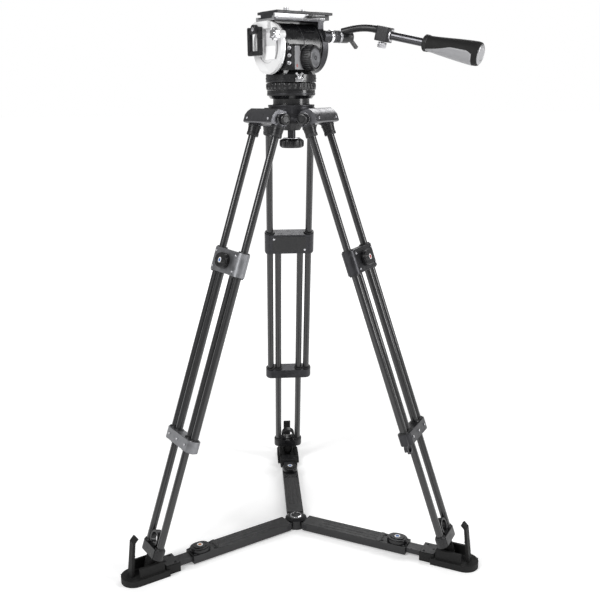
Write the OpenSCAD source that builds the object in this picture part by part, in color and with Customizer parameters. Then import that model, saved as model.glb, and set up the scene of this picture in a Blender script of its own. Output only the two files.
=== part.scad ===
// Video tripod: fluid head with pan bar on twin-tube legs with a ground spreader.
// Origin on the floor under the pan axis, +Z up, +Y towards the back leg.

/* [Legs] */
// height of the leg hinge pins above the floor
hinge_z = 909; // [860:1:960]
// distance of each hinge pin from the pan axis
hinge_r = 55; // [54:0.5:60]
// angle of each leg from the vertical, degrees
leg_tilt = 19; // [17:0.5:21]
// outside diameter of all leg tubes
tube_od = 15; // [12:0.5:16]
// wall of the leg tubes
tube_wall = 1.5; // [1:0.1:2.5]
// half the distance between the two outer tubes
outer_half = 44; // [43:0.5:46]
// half the distance between the two inner tubes
inner_half = 25; // [22:0.5:26]
// top of the sliding carriage, measured down the leg from the hinge
carriage_s = 271; // [240:1:300]
// height of the carriage along the leg
carriage_h = 48; // [40:1:56]
// top of the lower guide, measured down the leg
guide_s = 655; // [600:1:700]
// height of the lower guide
guide_h = 24; // [20:1:30]
// width of the leg castings across the two tubes, half
cast_half = 56; // [54:0.5:60]
// thickness of the carriage and the guide, through the leg
cast_t = 28; // [24:1:32]

/* [Crown] */
// radius of the crown barrel
crown_r = 46; // [44:0.5:47]
// top of the crown barrel
crown_top = 935; // [930:1:938]
// half width of the crown lug between the two ears of a leg
lug_half = 27; // [24:0.5:28]
// radius of the hinge lug
lug_r = 13; // [11:0.5:14]
// radius of the hinge pin
pin_r = 5; // [4:0.5:6]
// radius of the levelling half ball
ball_r = 37.5; // [35:0.5:38]

/* [Spreader] */
// height of the hub
hub_h = 24; // [20:1:30]
// radius of the hub
hub_r = 24; // [23:1:30]
// outside width of a spreader arm
arm_w = 38; // [34:1:42]
// outside height of a spreader arm
arm_h = 18; // [16:1:20]
// outer end of the fixed part of an arm
arm_end = 268; // [250:1:274]
// distance of the lock knob from the pan axis
knob_at = 244; // [230:1:245]
// inner end of a foot plate
plate_in = 300; // [299:1:310]
// outer end of a foot plate
plate_out = 420; // [410:1:430]

/* [Head] */
// turn of the head from the tripod axes, degrees
head_yaw = 32; // [0:1:90]
// height of the tilt axis above the floor
tilt_z = 1044; // [1042:1:1048]
// radius of the fixed tilt drum
drum_r = 46.5; // [44:0.5:47]
// radius of the large side disc
disc_r = 50; // [48:0.5:51]
// length of the camera plate, across the head
plate_l = 132; // [110:1:140]
// width of the camera plate
plate_w = 70; // [60:1:76]
// radius of the pan housing
pan_r = 50; // [48:0.5:52]
// radius of the drag knob
drag_r = 25; // [20:0.5:26]
// length of the grip
grip_l = 109; // [90:1:130]

/* [Hidden] */
fit = 0.06;
gap = 0.35;
tube_r = tube_od / 2;
leg_az = [90, 210, 330];
foot_s = 935;
foot_r = 11;
ball_z = crown_top + 2;
bowl_out = ball_r + 5.5;
base_z = crown_top + 12;
ring_z = base_z + 17;
pan_z = ring_z + 14.6;
neck_z = pan_z + 14.4;
bed_z = tilt_z + 53;
ledge_z = (hinge_z - foot_s * cos(leg_tilt)) - foot_r - 0.3;
foot_at = hinge_r + foot_s * sin(leg_tilt);
arm_z = 2;
chan_w = 26;
chan_h = 12;
chan_z = arm_z + (arm_h - chan_h) / 2;
stub_y = -44;
stub_z = tilt_z + 22;
bar_x = 97;
bar_turn = -65;
panel_turn = 25;
plate_x = 12;
grip_s = 87;
bar_drop = 12.8;
rod_s = 88;
rod_z = stub_z + 2;
eps = 0.01;
$fn = 64;

// ---- placing ----

// leg frame: origin on the hinge pin, -Z down the leg, +X outwards, +Y along the pin
module leg(i)
  rotate([0, 0, leg_az[i - 1]])
    translate([hinge_r, 0, hinge_z])
      rotate([0, -leg_tilt, 0])
        children();

// arm frame: +X outwards along the floor
module arm(i)
  rotate([0, 0, leg_az[i - 1]])
    children();

// head frame: +X along the tilt axis, -Y towards the operator
module head()
  rotate([0, 0, head_yaw])
    children();

// pan bar frame: +X along the bar on the level
module bar()
  head()
    translate([bar_x, stub_y, 0])
      rotate([0, 0, bar_turn])
        children();

// frame of the straight rod, +X down its slope
module rod_frame()
  bar()
    translate([rod_s, 0, rod_z])
      rotate([0, bar_drop, 0])
        children();

// ---- shared shapes ----

// a bar across the leg with round ends, from s = a down to s = b
module cast_bar(a, b, half, t)
  translate([0, 0, -b])
    linear_extrude(b - a) {
      square([t, 2 * (half - t / 2)], center = true);
      for (k = [-1, 1])
        translate([0, k * (half - t / 2)])
          circle(d = t);
    }

// a pair of leg-wise cylinders, from s = a down to s = b
module pair(a, b, half, r)
  for (k = [-1, 1])
    translate([0, k * half, -b])
      cylinder(h = b - a, r = r);

// cylinder along Y
module ycyl(y0, y1, r, r2 = undef)
  translate([0, y0, 0])
    rotate([-90, 0, 0])
      cylinder(h = y1 - y0, r1 = r, r2 = is_undef(r2) ? r : r2);

// cylinder along X
module xcyl(x0, x1, r, r2 = undef)
  translate([x0, 0, 0])
    rotate([0, 90, 0])
      cylinder(h = x1 - x0, r1 = r, r2 = is_undef(r2) ? r : r2);

// ---- crown ----

module crown() color([0.13, 0.13, 0.14])
  difference() {
    union() {
      translate([0, 0, hinge_z])
        cylinder(h = crown_top - hinge_z, r = crown_r);
      intersection() {
        translate([0, 0, ball_z]) sphere(r = bowl_out);
        translate([0, 0, ball_z - 60]) cylinder(h = 60 - 8, r = 60);
      }
      for (i = [1, 2, 3])
        rotate([0, 0, leg_az[i - 1]]) {
          translate([36, -lug_half, hinge_z - lug_r])
            cube([hinge_r - 36, 2 * lug_half, 2 * lug_r]);
          translate([hinge_r, 0, hinge_z])
            ycyl(-lug_half, lug_half, lug_r);
        }
    }
    translate([0, 0, ball_z]) sphere(r = ball_r + fit);
    translate([0, 0, ball_z - 60]) cylinder(h = 40, r = 22);
    for (i = [1, 2, 3])
      rotate([0, 0, leg_az[i - 1]])
        translate([hinge_r, 0, hinge_z])
          ycyl(-lug_half - 1, lug_half + 1, pin_r + fit);
  }

module tension_knob(i, side) color([0.08, 0.08, 0.08])
  leg(i) scale([1, side, 1])
    difference() {
      union() {
        ycyl(53.4, 64, 11.5);
        ycyl(64 - eps, 67, 11.5, 9.5);
      }
      ycyl(65, 68, 6.5);
      ycyl(53, 62, 4 + fit);
    }

// ---- legs ----

module leg_bracket(i, side) color([0.16, 0.16, 0.17])
  leg(i)
    difference() {
      union() {
        difference() {
          bracket_casting();
          scale([1, side, 1]) ycyl(53, 70, 12.6);
        }
        ycyl(-53, 53, pin_r);
        scale([1, side, 1]) ycyl(52, 61.5, 4);
      }
      pair(14, 60, outer_half, tube_r + 0.02);
    }

// sloping shoulder of length w along the pin, from x = x0 outwards
module shoulder(w, x0)
  rotate([90, 0, 0])
    linear_extrude(w)
      polygon([[x0, -14], [22, -15], [24, -13], [24, 0], [20, 9], [14.6, 15], [x0, 16]]);

// two ears beside the crown lug, the bar across them and the two tube sockets
module bracket_casting() {
  for (k = [-1, 1]) scale([1, k, 1]) {
    ycyl(lug_half + gap, 53, 15);
    translate([0, 53, 0]) shoulder(53 - lug_half - gap, -4);
    translate([0, outer_half, -14])
      cylinder(h = 14, r = 13);
    translate([0, outer_half, -34])
      cylinder(h = 20, r1 = 11.2, r2 = 13);
  }
  translate([0, 53, 0]) shoulder(106, lug_r + 1.5);
}

module outer_tubes(i) color([0.07, 0.07, 0.08])
  leg(i)
    difference() {
      pair(14.2, guide_s + guide_h - 2.2, outer_half, tube_r);
      pair(13, guide_s + guide_h, outer_half, tube_r - tube_wall);
    }

module leg_guide(i) color([0.2, 0.2, 0.21])
  leg(i)
    difference() {
      union() {
        cast_bar(guide_s, guide_s + guide_h, cast_half, cast_t);
        if (i == 3) transport_hook();
      }
      pair(guide_s - 1, guide_s + guide_h - 2, outer_half, tube_r + 0.02);
      pair(guide_s - 1, guide_s + guide_h + 1, inner_half, tube_r + fit);
    }

// open hook under one lower guide that holds the folded legs together
module transport_hook()
  translate([0, -46, -(guide_s + guide_h + 8)])
    difference() {
      xcyl(-4, 4, 12);
      xcyl(-5, 5, 8);
      translate([-5, -13, -13]) cube([10, 13, 9]);
    }

module carriage(i) color([0.18, 0.18, 0.19])
  leg(i) {
    a = carriage_s;
    b = carriage_s + carriage_h;
    difference() {
      union() {
        cast_bar(a, b, cast_half, cast_t);
        translate([0, 0, -(a + b) / 2]) xcyl(cast_t / 2 - 1, cast_t / 2 + 7, 5);
      }
      pair(a - 1, b + 1, outer_half, tube_r + fit);
      pair(a + 6, b + 1, inner_half, tube_r + 0.02);
    }
  }

module inner_tubes(i) color([0.07, 0.07, 0.08])
  leg(i)
    difference() {
      pair(carriage_s + 6.2, 905, inner_half, tube_r);
      pair(carriage_s + 5, 906, inner_half, tube_r - tube_wall);
    }

module foot(i) color([0.12, 0.12, 0.12])
  leg(i)
    difference() {
      union() {
        cast_bar(892, 912, 36, 24);
        translate([0, 0, -878]) xcyl(-6, 6, 16.8);
        translate([0, 0, -foot_s]) cylinder(h = foot_s - 911, r = foot_r);
        translate([0, 0, -foot_s]) sphere(r = foot_r);
      }
      translate([0, 0, -878]) xcyl(-7, 7, 12);
      pair(890, 905.2, inner_half, tube_r + 0.02);
    }

// oval turn lever on the outer face of the carriage
module leg_lever(i) color([0.1, 0.1, 0.1])
  leg(i)
    translate([cast_t / 2 + gap, 0, -(carriage_s + carriage_h / 2)])
      difference() {
        union() {
          xcyl(0, 10, 16);
          translate([0, -12, -12]) cube([8, 24, 24]);
          for (k = [-1, 1])
            translate([0, k * 10, 0]) xcyl(0, 8, 13);
        }
        xcyl(-1, 7.2, 5 + fit);
      }

// ---- spreader ----

module hub() color([0.1, 0.1, 0.1]) {
  cylinder(h = hub_h - 4, r = hub_r);
  translate([0, 0, hub_h - 4 - eps]) cylinder(h = 4, r1 = hub_r, r2 = hub_r - 6);
  for (i = [1, 2, 3]) arm(i)
    translate([hub_r - 8, -chan_w / 2 + 0.05, chan_z + 0.05])
      cube([28, chan_w - 0.1, chan_h - 0.1]);
  translate([0, 0, hub_h - 0.5])
    rotate_extrude()
      translate([10, 0]) circle(r = 2);
}

module arm_outer(i) color([0.09, 0.09, 0.09])
  arm(i) {
    difference() {
      translate([hub_r + 1, -arm_w / 2, arm_z])
        cube([arm_end - hub_r - 1, arm_w, arm_h]);
      translate([hub_r, -chan_w / 2, chan_z])
        cube([arm_end - hub_r + 1, chan_w, chan_h]);
    }
    translate([knob_at, 0, arm_z + arm_h - 0.5]) cylinder(h = 8, r = 4);
  }

module arm_inner(i) color([0.14, 0.14, 0.14])
  arm(i)
    translate([150, -chan_w / 2 + 0.2, chan_z + 0.2])
      cube([plate_in + 18 - 150, chan_w - 0.4, chan_h - 0.4]);

module arm_knob(i) color([0.07, 0.07, 0.07])
  arm(i)
    translate([knob_at, 0, arm_z + arm_h + gap])
      difference() {
        union() {
          for (k = [-1, 1]) translate([k * 4, 0, 0]) cylinder(h = 9, r = 18);
          translate([-4, -18, 0]) cube([8, 36, 9]);
          translate([0, 0, 8.9]) cylinder(h = 3, r1 = 14, r2 = 11);
        }
        translate([0, 0, -1]) cylinder(h = 8.4, r = 4 + fit);
      }

module foot_cup(i) color([0.12, 0.12, 0.12])
  arm(i)
    difference() {
      union() {
        translate([plate_in, -22, 0]) cube([32, 44, 19.6]);
        linear_extrude(ledge_z) {
          translate([plate_in + 26, -28]) square([plate_out - plate_in - 54, 56]);
          translate([plate_out - 28, 0]) circle(r = 28);
        }
        for (k = [-1, 1]) scale([1, k, 1])
          translate([foot_at - 24, 17, ledge_z - 1]) cube([54, 6, 22]);
        translate([plate_out, 9, 0])
          rotate([90, 0, 0])
            linear_extrude(18)
              polygon([[-22, 3], [-15, 3], [-25, 88], [-34, 97], [-37.5, 93.5], [-30.4, 86]]);
      }
      translate([plate_in - 1, -chan_w / 2, chan_z]) cube([21, chan_w, chan_h]);
    }

// ---- head: bowl level and pan ----

module clamp_dish() color([0.09, 0.09, 0.09])
  difference() {
    union() {
      translate([0, 0, ball_z - 52]) cylinder(h = 14, r1 = 17, r2 = 26);
      translate([0, 0, ball_z - 38 - eps]) cylinder(h = 5, r = 26);
    }
    translate([0, 0, ball_z]) sphere(r = bowl_out + fit);
    for (k = [-1, 1])
      translate([0, 8 * k, ball_z - 70]) cylinder(h = 50, r = 8.4);
    translate([-8.4, -8, ball_z - 70]) cube([16.8, 16, 50]);
  }

module half_ball() color([0.1, 0.1, 0.11]) {
  intersection() {
    translate([0, 0, ball_z]) sphere(r = ball_r);
    translate([0, 0, ball_z - 34]) cylinder(h = 34, r = 60);
  }
  translate([0, 0, ball_z - eps]) cylinder(h = base_z - ball_z + 1, r = ball_r - 1);
  translate([0, 0, base_z]) cylinder(h = 6, r1 = 42, r2 = 46);
  translate([0, 0, base_z + 6 - eps]) cylinder(h = 10.6, r = 48);
  translate([0, 0, base_z + 16]) cylinder(h = neck_z - base_z - 24, r = 20);
  translate([0, 0, ball_z - 82]) cylinder(h = 60, r = 8);
}

module tie_knob() color([0.08, 0.08, 0.08])
  difference() {
    union() {
      translate([0, 0, ball_z - 84]) cylinder(h = 12, r = 25);
      translate([0, 0, ball_z - 87]) cylinder(h = 3 + eps, r1 = 21, r2 = 25);
      translate([0, 0, ball_z - 72 - eps]) cylinder(h = 5, r1 = 25, r2 = 20);
    }
    translate([0, 0, ball_z - 82.4]) cylinder(h = 30, r = 8 + fit);
    for (a = [0 : 30 : 330]) rotate([0, 0, a])
      translate([27.5, 0, ball_z - 90]) cylinder(h = 30, r = 4);
  }

module drag_ring() color([0.1, 0.1, 0.1])
  difference() {
    translate([0, 0, ring_z]) cylinder(h = 14.2, r = pan_r);
    translate([0, 0, ring_z - 1]) cylinder(h = 18, r = 20 + fit);
    for (a = [0 : 15 : 345]) rotate([0, 0, a])
      translate([pan_r + 1, 0, ring_z + 1.6]) cylinder(h = 11, r = 3);
  }

module head_body() color([0.1, 0.1, 0.11])
  head()
    difference() {
      union() {
        difference() {
          union() {
            translate([0, 0, pan_z]) cylinder(h = neck_z - pan_z, r = pan_r);
            translate([0, 0, neck_z - eps]) cylinder(h = 12, r1 = pan_r - 6, r2 = 38);
            translate([-38, -30, neck_z]) cube([76, 62, tilt_z - neck_z]);
            translate([0, 0, tilt_z]) xcyl(-45, 42, drum_r);
          }
          panel() translate([12, 0, tilt_z - 20]) ycyl(-60, 1, drag_r + 0.6);
          button_column() translate([-12, -20, -37]) cube([18.4, 20, 44]);
        }
        panel() {
          translate([-33, 0, neck_z + 8]) cube([66, 30, 48]);
          translate([12, 0, tilt_z - 20]) ycyl(-6, 4, 6);
        }
        button_column() translate([-6.5, 0, -36]) cube([13, 30, 40]);
      }
      translate([0, 0, pan_z - 1]) cylinder(h = 11, r = 20 + fit);
      for (k = [0 : 2]) button_place(k) translate([0, 0, -5]) cylinder(h = 14, r = 4 + 0.2);
      lock_place() ycyl(-9, 6, 3 + fit);
    }

// flat control panel, turned towards the right of the operator
module panel()
  translate([0, -41, 0])
    rotate([0, 0, panel_turn])
      children();

// bevelled corner column between the side disc and the panel
module button_column()
  translate([-36, -46, tilt_z])
    rotate([0, 0, -33])
      children();

// three push buttons one above the other on the corner column
module button_place(k)
  button_column()
    translate([0, 0, -30 + 14 * k])
      rotate([90, 0, 0])
        children();

module button(k) color([0.55, 0.55, 0.57])
  head() button_place(k - 1) {
    translate([0, 0, -3]) cylinder(h = 6, r = 4);
    translate([0, 0, 3 - eps]) cylinder(h = 1, r1 = 4, r2 = 3);
  }

module lock_place()
  rotate([0, 0, -18])
    translate([0, -pan_r, neck_z - 6])
      children();

module pan_lock() color([0.75, 0.75, 0.76])
  head() lock_place() {
    ycyl(-1, 5, 3);
    translate([-8, -6, -8]) cube([16, 5.4, 18]);
    translate([-3, -8, -6]) cube([6, 3, 14]);
  }

module tilt_knob() color([0.08, 0.08, 0.08])
  head() panel()
    translate([12, 0, tilt_z - 20])
      difference() {
        union() {
          ycyl(-21, -gap, drag_r);
          ycyl(-24, -21 + eps, drag_r - 4, drag_r);
        }
        ycyl(-6.4, 1, 6 + fit);
        ycyl(-25, -22, 19);
        for (a = [0 : 20 : 340]) rotate([0, a, 0])
          translate([drag_r + 1.2, 0, 0]) ycyl(-26, -5, 2.4);
      }

// ---- head: tilting part ----

module tilt_block() color([0.45, 0.45, 0.47])
  head()
    difference() {
      union() {
        translate([-60, -32, bed_z - 4]) cube([120, 64, 8]);
        translate([-60, -34, bed_z + 1]) cube([120, 5, 8]);
        translate([0, 0, tilt_z]) xcyl(44, 58, 48);
        translate([44, -32, tilt_z]) cube([14, 64, bed_z - tilt_z]);
        translate([0, stub_y, stub_z]) xcyl(46, 86, 11);
      }
      translate([0, 0, tilt_z]) xcyl(-46.8, 43.6, drum_r + 0.8);
      translate([-61, -24, bed_z + 0.4]) cube([122, 48.2, 10]);
      translate([0, stub_y, stub_z]) xcyl(80, 87, 5 + 0.02);
    }

module side_disc() color([0.78, 0.78, 0.78])
  head()
    difference() {
      union() {
        translate([0, 0, tilt_z]) xcyl(-56, -46.5, disc_r);
        translate([-64, -14, bed_z - 18]) cube([12, 50, 13.6]);
        translate([0, stub_y, stub_z]) xcyl(-62, -47, 8);
        translate([0, stub_y, stub_z]) xcyl(-68, -60, 3.5);
        translate([0, 23, tilt_z + 35]) xcyl(-72, -60, 4);
      }
      translate([-80, -60, bed_z - 4.2]) cube([60, 120, 20]);
      translate([0, 0, tilt_z]) xcyl(-57, -54.5, 30);
    }

module disc_handle() color([0.06, 0.06, 0.06])
  head()
    translate([-69, 23, tilt_z + 35])
      difference() {
        union() {
          xcyl(-5, 4, 9);
          translate([-4, -22, -44]) cube([8, 9, 44]);
          translate([-4, 13, -44]) cube([8, 9, 44]);
          translate([-4, -17, -50]) cube([8, 34, 9]);
          translate([-4, -22, -9]) cube([8, 44, 9]);
          for (k = [-16.5, 16.5]) translate([0, k, -44]) xcyl(-4, 4, 5.5);
        }
        xcyl(-3.2, 5, 4 + fit);
      }

module lobed_knob() color([0.8, 0.8, 0.82])
  head()
    translate([0, stub_y, stub_z])
      difference() {
        union() {
          xcyl(-73, -62.4, 9);
          for (a = [0 : 60 : 300]) rotate([a, 0, 0])
            translate([0, 8.5, 0]) xcyl(-72, -63, 4);
        }
        xcyl(-68.4, -62, 3.5 + fit);
      }

module camera_plate() color([0.12, 0.12, 0.12])
  head() translate([plate_x, 0, 0])
    difference() {
      union() {
        translate([-plate_l / 2, -23.8, bed_z + 0.6]) cube([plate_l, 47.8, 9]);
        translate([-plate_l / 2, -plate_w / 2, bed_z + 9.2]) cube([plate_l, plate_w, 5]);
      }
      for (x = [-22, 18])
        translate([x, 0, bed_z]) cylinder(h = 30, r = 5.2);
      for (x = [-22, 18])
        translate([x, 0, bed_z]) cylinder(h = 6, r = 8.2);
    }

module camera_screws() color([0.7, 0.7, 0.72])
  head() translate([plate_x, 0, 0]) {
    translate([-22, 0, bed_z + 1]) cylinder(h = 4.6, r = 7.8);
    translate([-22, 0, bed_z + 5]) cylinder(h = 9.4, r = 4.2);
    translate([-22, 0, bed_z + 14.4]) cylinder(h = 8.6, r = 4.76);
    translate([18, 0, bed_z + 1]) cylinder(h = 4.6, r = 7.8);
    translate([18, 0, bed_z + 5]) cylinder(h = 9.4, r = 2.8);
    translate([18, 0, bed_z + 14.4]) cylinder(h = 6.6, r = 3.175);
  }

module plate_lock() color([0.1, 0.1, 0.1])
  head()
    translate([20, -40.6, bed_z + 1]) {
      cylinder(h = 6, r = 6);
      translate([0, -4, 1]) cube([34, 6, 4]);
    }

// ---- pan bar ----

module bar_clamp() color([0.5, 0.5, 0.52])
  head()
    translate([0, stub_y, stub_z]) {
      xcyl(80.2, 110, 4.95);
      xcyl(108.4, 118, 10);
      translate([112, 0, 0]) rotate([0, -45, 0]) translate([-3, -3.5, -29]) cube([6, 7, 24]);
    }

module pan_bar() color([0.07, 0.07, 0.07])
  difference() {
    union() {
      head() translate([0, stub_y, stub_z]) xcyl(86.4, 108, 12);
      bar() translate([41, 0, stub_z + 15 - 140])
        rotate([90, 0, 0]) rotate([0, 0, 73])
          rotate_extrude(angle = 34) translate([140, 0]) circle(r = 7);
      rod_frame() translate([-13, -13, -14]) cube([30, 26, 28]);
    }
    head() translate([0, stub_y, stub_z]) xcyl(82, 120, 5);
    rod_frame() xcyl(-12.4, 30, 8 + 0.08);
    rod_frame() translate([2, 0, -20]) cylinder(h = 10, r = 3 + fit);
  }

module bar_knob() color([0.7, 0.7, 0.72])
  rod_frame()
    translate([2, 0, 0]) {
      translate([0, 0, -17]) cylinder(h = 7, r = 3);
      translate([0, 0, -26]) cylinder(h = 11, r = 9);
    }

module bar_rod() color([0.35, 0.35, 0.36])
  rod_frame()
    difference() {
      xcyl(-12, 170, 8);
      xcyl(-13, 171, 6.5);
    }

module bar_grip() color([0.08, 0.08, 0.08])
  rod_frame()
    difference() {
      union() {
        xcyl(grip_s, grip_s + grip_l, 15.5, 22);
        xcyl(grip_s + grip_l - eps, grip_s + grip_l + 6, 22, 16);
      }
      xcyl(grip_s - 1, 170.2, 8 + 0.02);
    }

// ---- drawing ----

crown();
tension_knob(1, 1);  // tension_knob_1
tension_knob(2, 1);  // tension_knob_2
tension_knob(3, -1);  // tension_knob_3
leg_bracket(1, 1);  // leg_bracket_1
leg_bracket(2, 1);  // leg_bracket_2
leg_bracket(3, -1);  // leg_bracket_3
outer_tubes(1);  // outer_tubes_1
outer_tubes(2);  // outer_tubes_2
outer_tubes(3);  // outer_tubes_3
leg_guide(1);  // leg_guide_1
leg_guide(2);  // leg_guide_2
leg_guide(3);  // leg_guide_3
carriage(1);  // carriage_1
carriage(2);  // carriage_2
carriage(3);  // carriage_3
inner_tubes(1);  // inner_tubes_1
inner_tubes(2);  // inner_tubes_2
inner_tubes(3);  // inner_tubes_3
foot(1);  // foot_1
foot(2);  // foot_2
foot(3);  // foot_3
leg_lever(1);  // leg_lever_1
leg_lever(2);  // leg_lever_2
leg_lever(3);  // leg_lever_3
hub();
arm_outer(1);  // arm_outer_1
arm_outer(2);  // arm_outer_2
arm_outer(3);  // arm_outer_3
arm_inner(1);  // arm_inner_1
arm_inner(2);  // arm_inner_2
arm_inner(3);  // arm_inner_3
arm_knob(1);  // arm_knob_1
arm_knob(2);  // arm_knob_2
arm_knob(3);  // arm_knob_3
foot_cup(1);  // foot_cup_1
foot_cup(2);  // foot_cup_2
foot_cup(3);  // foot_cup_3
clamp_dish();
half_ball();
tie_knob();
drag_ring();
head_body();
pan_lock();
button(1);  // button_1
button(2);  // button_2
button(3);  // button_3
tilt_knob();
tilt_block();
side_disc();
disc_handle();
lobed_knob();
camera_plate();
camera_screws();
plate_lock();
bar_clamp();
pan_bar();
bar_knob();
bar_rod();
bar_grip();
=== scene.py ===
# %% [markdown]
# # Video tripod with a fluid head
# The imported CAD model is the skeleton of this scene. Every piece made here sits in the same frame, in metres,
# and rides on one of its moving bodies. We load it first, because all places are read from it.

# %% Load the frame
import bmesh
import bpy
import math
from mathutils import Matrix, Vector


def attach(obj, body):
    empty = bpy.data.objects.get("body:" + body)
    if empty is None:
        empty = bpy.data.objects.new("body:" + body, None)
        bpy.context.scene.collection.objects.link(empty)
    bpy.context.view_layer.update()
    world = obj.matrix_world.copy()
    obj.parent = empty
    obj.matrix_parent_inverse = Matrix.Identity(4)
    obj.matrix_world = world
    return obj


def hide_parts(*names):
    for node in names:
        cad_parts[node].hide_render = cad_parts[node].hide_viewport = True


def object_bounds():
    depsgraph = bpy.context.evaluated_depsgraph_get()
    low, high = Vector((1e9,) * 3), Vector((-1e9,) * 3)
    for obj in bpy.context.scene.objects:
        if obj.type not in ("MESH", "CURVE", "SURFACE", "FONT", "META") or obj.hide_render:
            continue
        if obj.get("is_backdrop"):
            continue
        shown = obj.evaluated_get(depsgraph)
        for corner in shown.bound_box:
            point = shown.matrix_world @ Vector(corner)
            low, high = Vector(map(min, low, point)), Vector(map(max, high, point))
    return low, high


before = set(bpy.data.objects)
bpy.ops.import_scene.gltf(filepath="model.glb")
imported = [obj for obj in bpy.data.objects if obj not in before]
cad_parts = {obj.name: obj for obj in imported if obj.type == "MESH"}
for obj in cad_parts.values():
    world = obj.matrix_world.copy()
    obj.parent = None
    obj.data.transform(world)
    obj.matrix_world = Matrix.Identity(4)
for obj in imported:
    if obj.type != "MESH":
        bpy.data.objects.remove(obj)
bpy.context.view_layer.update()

# %% [markdown]
# ## Working frames
# A tripod is easiest to draw leg by leg: in each leg's own frame the hinge is at the origin, the leg runs down -Z,
# +X points outwards and +Y runs along the hinge pin. The head, the pan bar and its sloping rod get frames too.
# Everything is drawn in millimetres and is turned into place in the mesh, so no object is ever moved.

# %% Frames of the legs, the arms, the head and the bar
def turn(axis, degrees):
    return Matrix.Rotation(math.radians(degrees), 4, axis)


def shift(x=0.0, y=0.0, z=0.0):
    return Matrix.Translation((x, y, z))


LEGS = (1, 2, 3)
HINGE_R, HINGE_Z, LEG_TILT = 55, 909, 19
KNOB_SIDE = {1: 1, 2: 1, 3: -1}  # the end of the hinge pin that carries the thumb wheel
ARM = {i: turn("Z", 120 * i - 30) for i in LEGS}
LEG = {i: ARM[i] @ shift(HINGE_R, 0, HINGE_Z) @ turn("Y", -LEG_TILT) for i in LEGS}
WORLD = Matrix.Identity(4)
TILT_Z, BED_Z, STUB_Y, STUB_Z, BALL_Z = 1044, 1097, -44, 1066, 937
HEAD = turn("Z", 32)
PANEL = HEAD @ shift(0, -41, 0) @ turn("Z", 25)
COLUMN = HEAD @ shift(-36, -46, TILT_Z) @ turn("Z", -33)
LOCK = HEAD @ turn("Z", -18) @ shift(0, -50, 987)
BAR = HEAD @ shift(97, STUB_Y, 0) @ turn("Z", -65)
ROD = BAR @ shift(88, 0, 1068) @ turn("Y", 12.8)
ALONG_X = turn("Y", 90)      # a shape drawn along +Z then lies along +X
ALONG_BACK = turn("X", 90)   # drawn along +Z, it then points to -Y
TO_METRES = Matrix.Scale(0.001, 4)
print("hinge of the left front leg", [round(v) for v in LEG[2].translation])

# %% [markdown]
# ## Shape helpers
# Turned parts (knobs, rings, tubes) are a profile spun round an axis. Cast and moulded parts are an outline pushed
# through a thickness. Both give closed shells. A small bevel on every edge then catches the light, as real cast and
# machined edges do, and weighted normals keep the flats flat.

# %% Turned and extruded shapes
def circle(r, sides):
    return [(r * math.cos(2 * math.pi * k / sides), r * math.sin(2 * math.pi * k / sides)) for k in range(sides)]


def lathe(profile, sides=56, ring=False):
    """profile is (radius, height) from the bottom to the top; a ring joins its last point to its first."""
    bm = bmesh.new()
    rows = [[bm.verts.new((x, y, z)) for x, y in (circle(r, sides) if r else [(0, 0)])] for r, z in profile]
    pairs = list(zip(rows, rows[1:])) + ([(rows[-1], rows[0])] if ring else [])
    for low, high in pairs:
        if len(low) + len(high) == 2:
            continue
        for k in range(sides):
            n = (k + 1) % sides
            corners = [low[k % len(low)], low[n % len(low)], high[n % len(high)], high[k % len(high)]]
            bm.faces.new(list(dict.fromkeys(corners)))
    bmesh.ops.recalc_face_normals(bm, faces=bm.faces)
    return bm


def hoop(profile, sides=56):
    return lathe(profile, sides, ring=True)


def prism(outline, z0, z1):
    """a closed outline of (x, y) points pushed from z0 to z1."""
    bm = bmesh.new()
    low = [bm.verts.new((x, y, z0)) for x, y in outline]
    high = [bm.verts.new((x, y, z1)) for x, y in outline]
    bm.faces.new(low)
    bm.faces.new(high)
    for k in range(len(low)):
        n = (k + 1) % len(low)
        bm.faces.new((low[k], low[n], high[n], high[k]))
    bmesh.ops.recalc_face_normals(bm, faces=bm.faces)
    return bm


def round_rect(w, h, r, x=0.0, y=0.0, steps=6):
    points = []
    dx, dy = w / 2 - r, h / 2 - r
    for cx, cy, a0 in ((dx, dy, 0), (-dx, dy, 90), (-dx, -dy, 180), (dx, -dy, 270)):
        for k in range(steps + 1):
            a = math.radians(a0 + 90 * k / steps)
            points.append((x + cx + r * math.cos(a), y + cy + r * math.sin(a)))
    return points


def block(lo, hi, r=2.0):
    """a box with rounded corners seen from above; the bevel rounds the rest."""
    w, h = hi[0] - lo[0], hi[1] - lo[1]
    return prism(round_rect(w, h, min(r, w / 2.01, h / 2.01), lo[0] + w / 2, lo[1] + h / 2, 4), lo[2], hi[2])


def oval(a, b, x=0.0, y=0.0, steps=48, power=2.0):
    points = []
    for k in range(steps):
        c, s = math.cos(2 * math.pi * k / steps), math.sin(2 * math.pi * k / steps)
        points.append((x + a * math.copysign(abs(c) ** (2 / power), c),
                       y + b * math.copysign(abs(s) ** (2 / power), s)))
    return points


def pipe(r_out, r_in, z0, z1, sides=32):
    """an open tube with a wall; its UV map is millimetres round and along, which the carbon weave follows."""
    bm = bmesh.new()
    uv = bm.loops.layers.uv.new("UVMap")
    loops = [(r_out, z0), (r_out, z1), (r_in, z1), (r_in, z0)]
    rings = [[bm.verts.new((x, y, z)) for x, y in circle(r, sides)] for r, z in loops]
    for j in range(len(rings)):
        m = (j + 1) % len(rings)
        for k in range(sides):
            n = (k + 1) % sides
            f = bm.faces.new((rings[j][k], rings[j][n], rings[m][n], rings[m][k]))
            for loop, (kk, jj) in zip(f.loops, ((k, j), (k + 1, j), (k + 1, m), (k, m))):
                loop[uv].uv = (2 * math.pi * r_out * kk / sides, loops[jj][1])
    bmesh.ops.recalc_face_normals(bm, faces=bm.faces)
    return bm


print("helpers ready: lathe, prism, block, oval, pipe")

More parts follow.
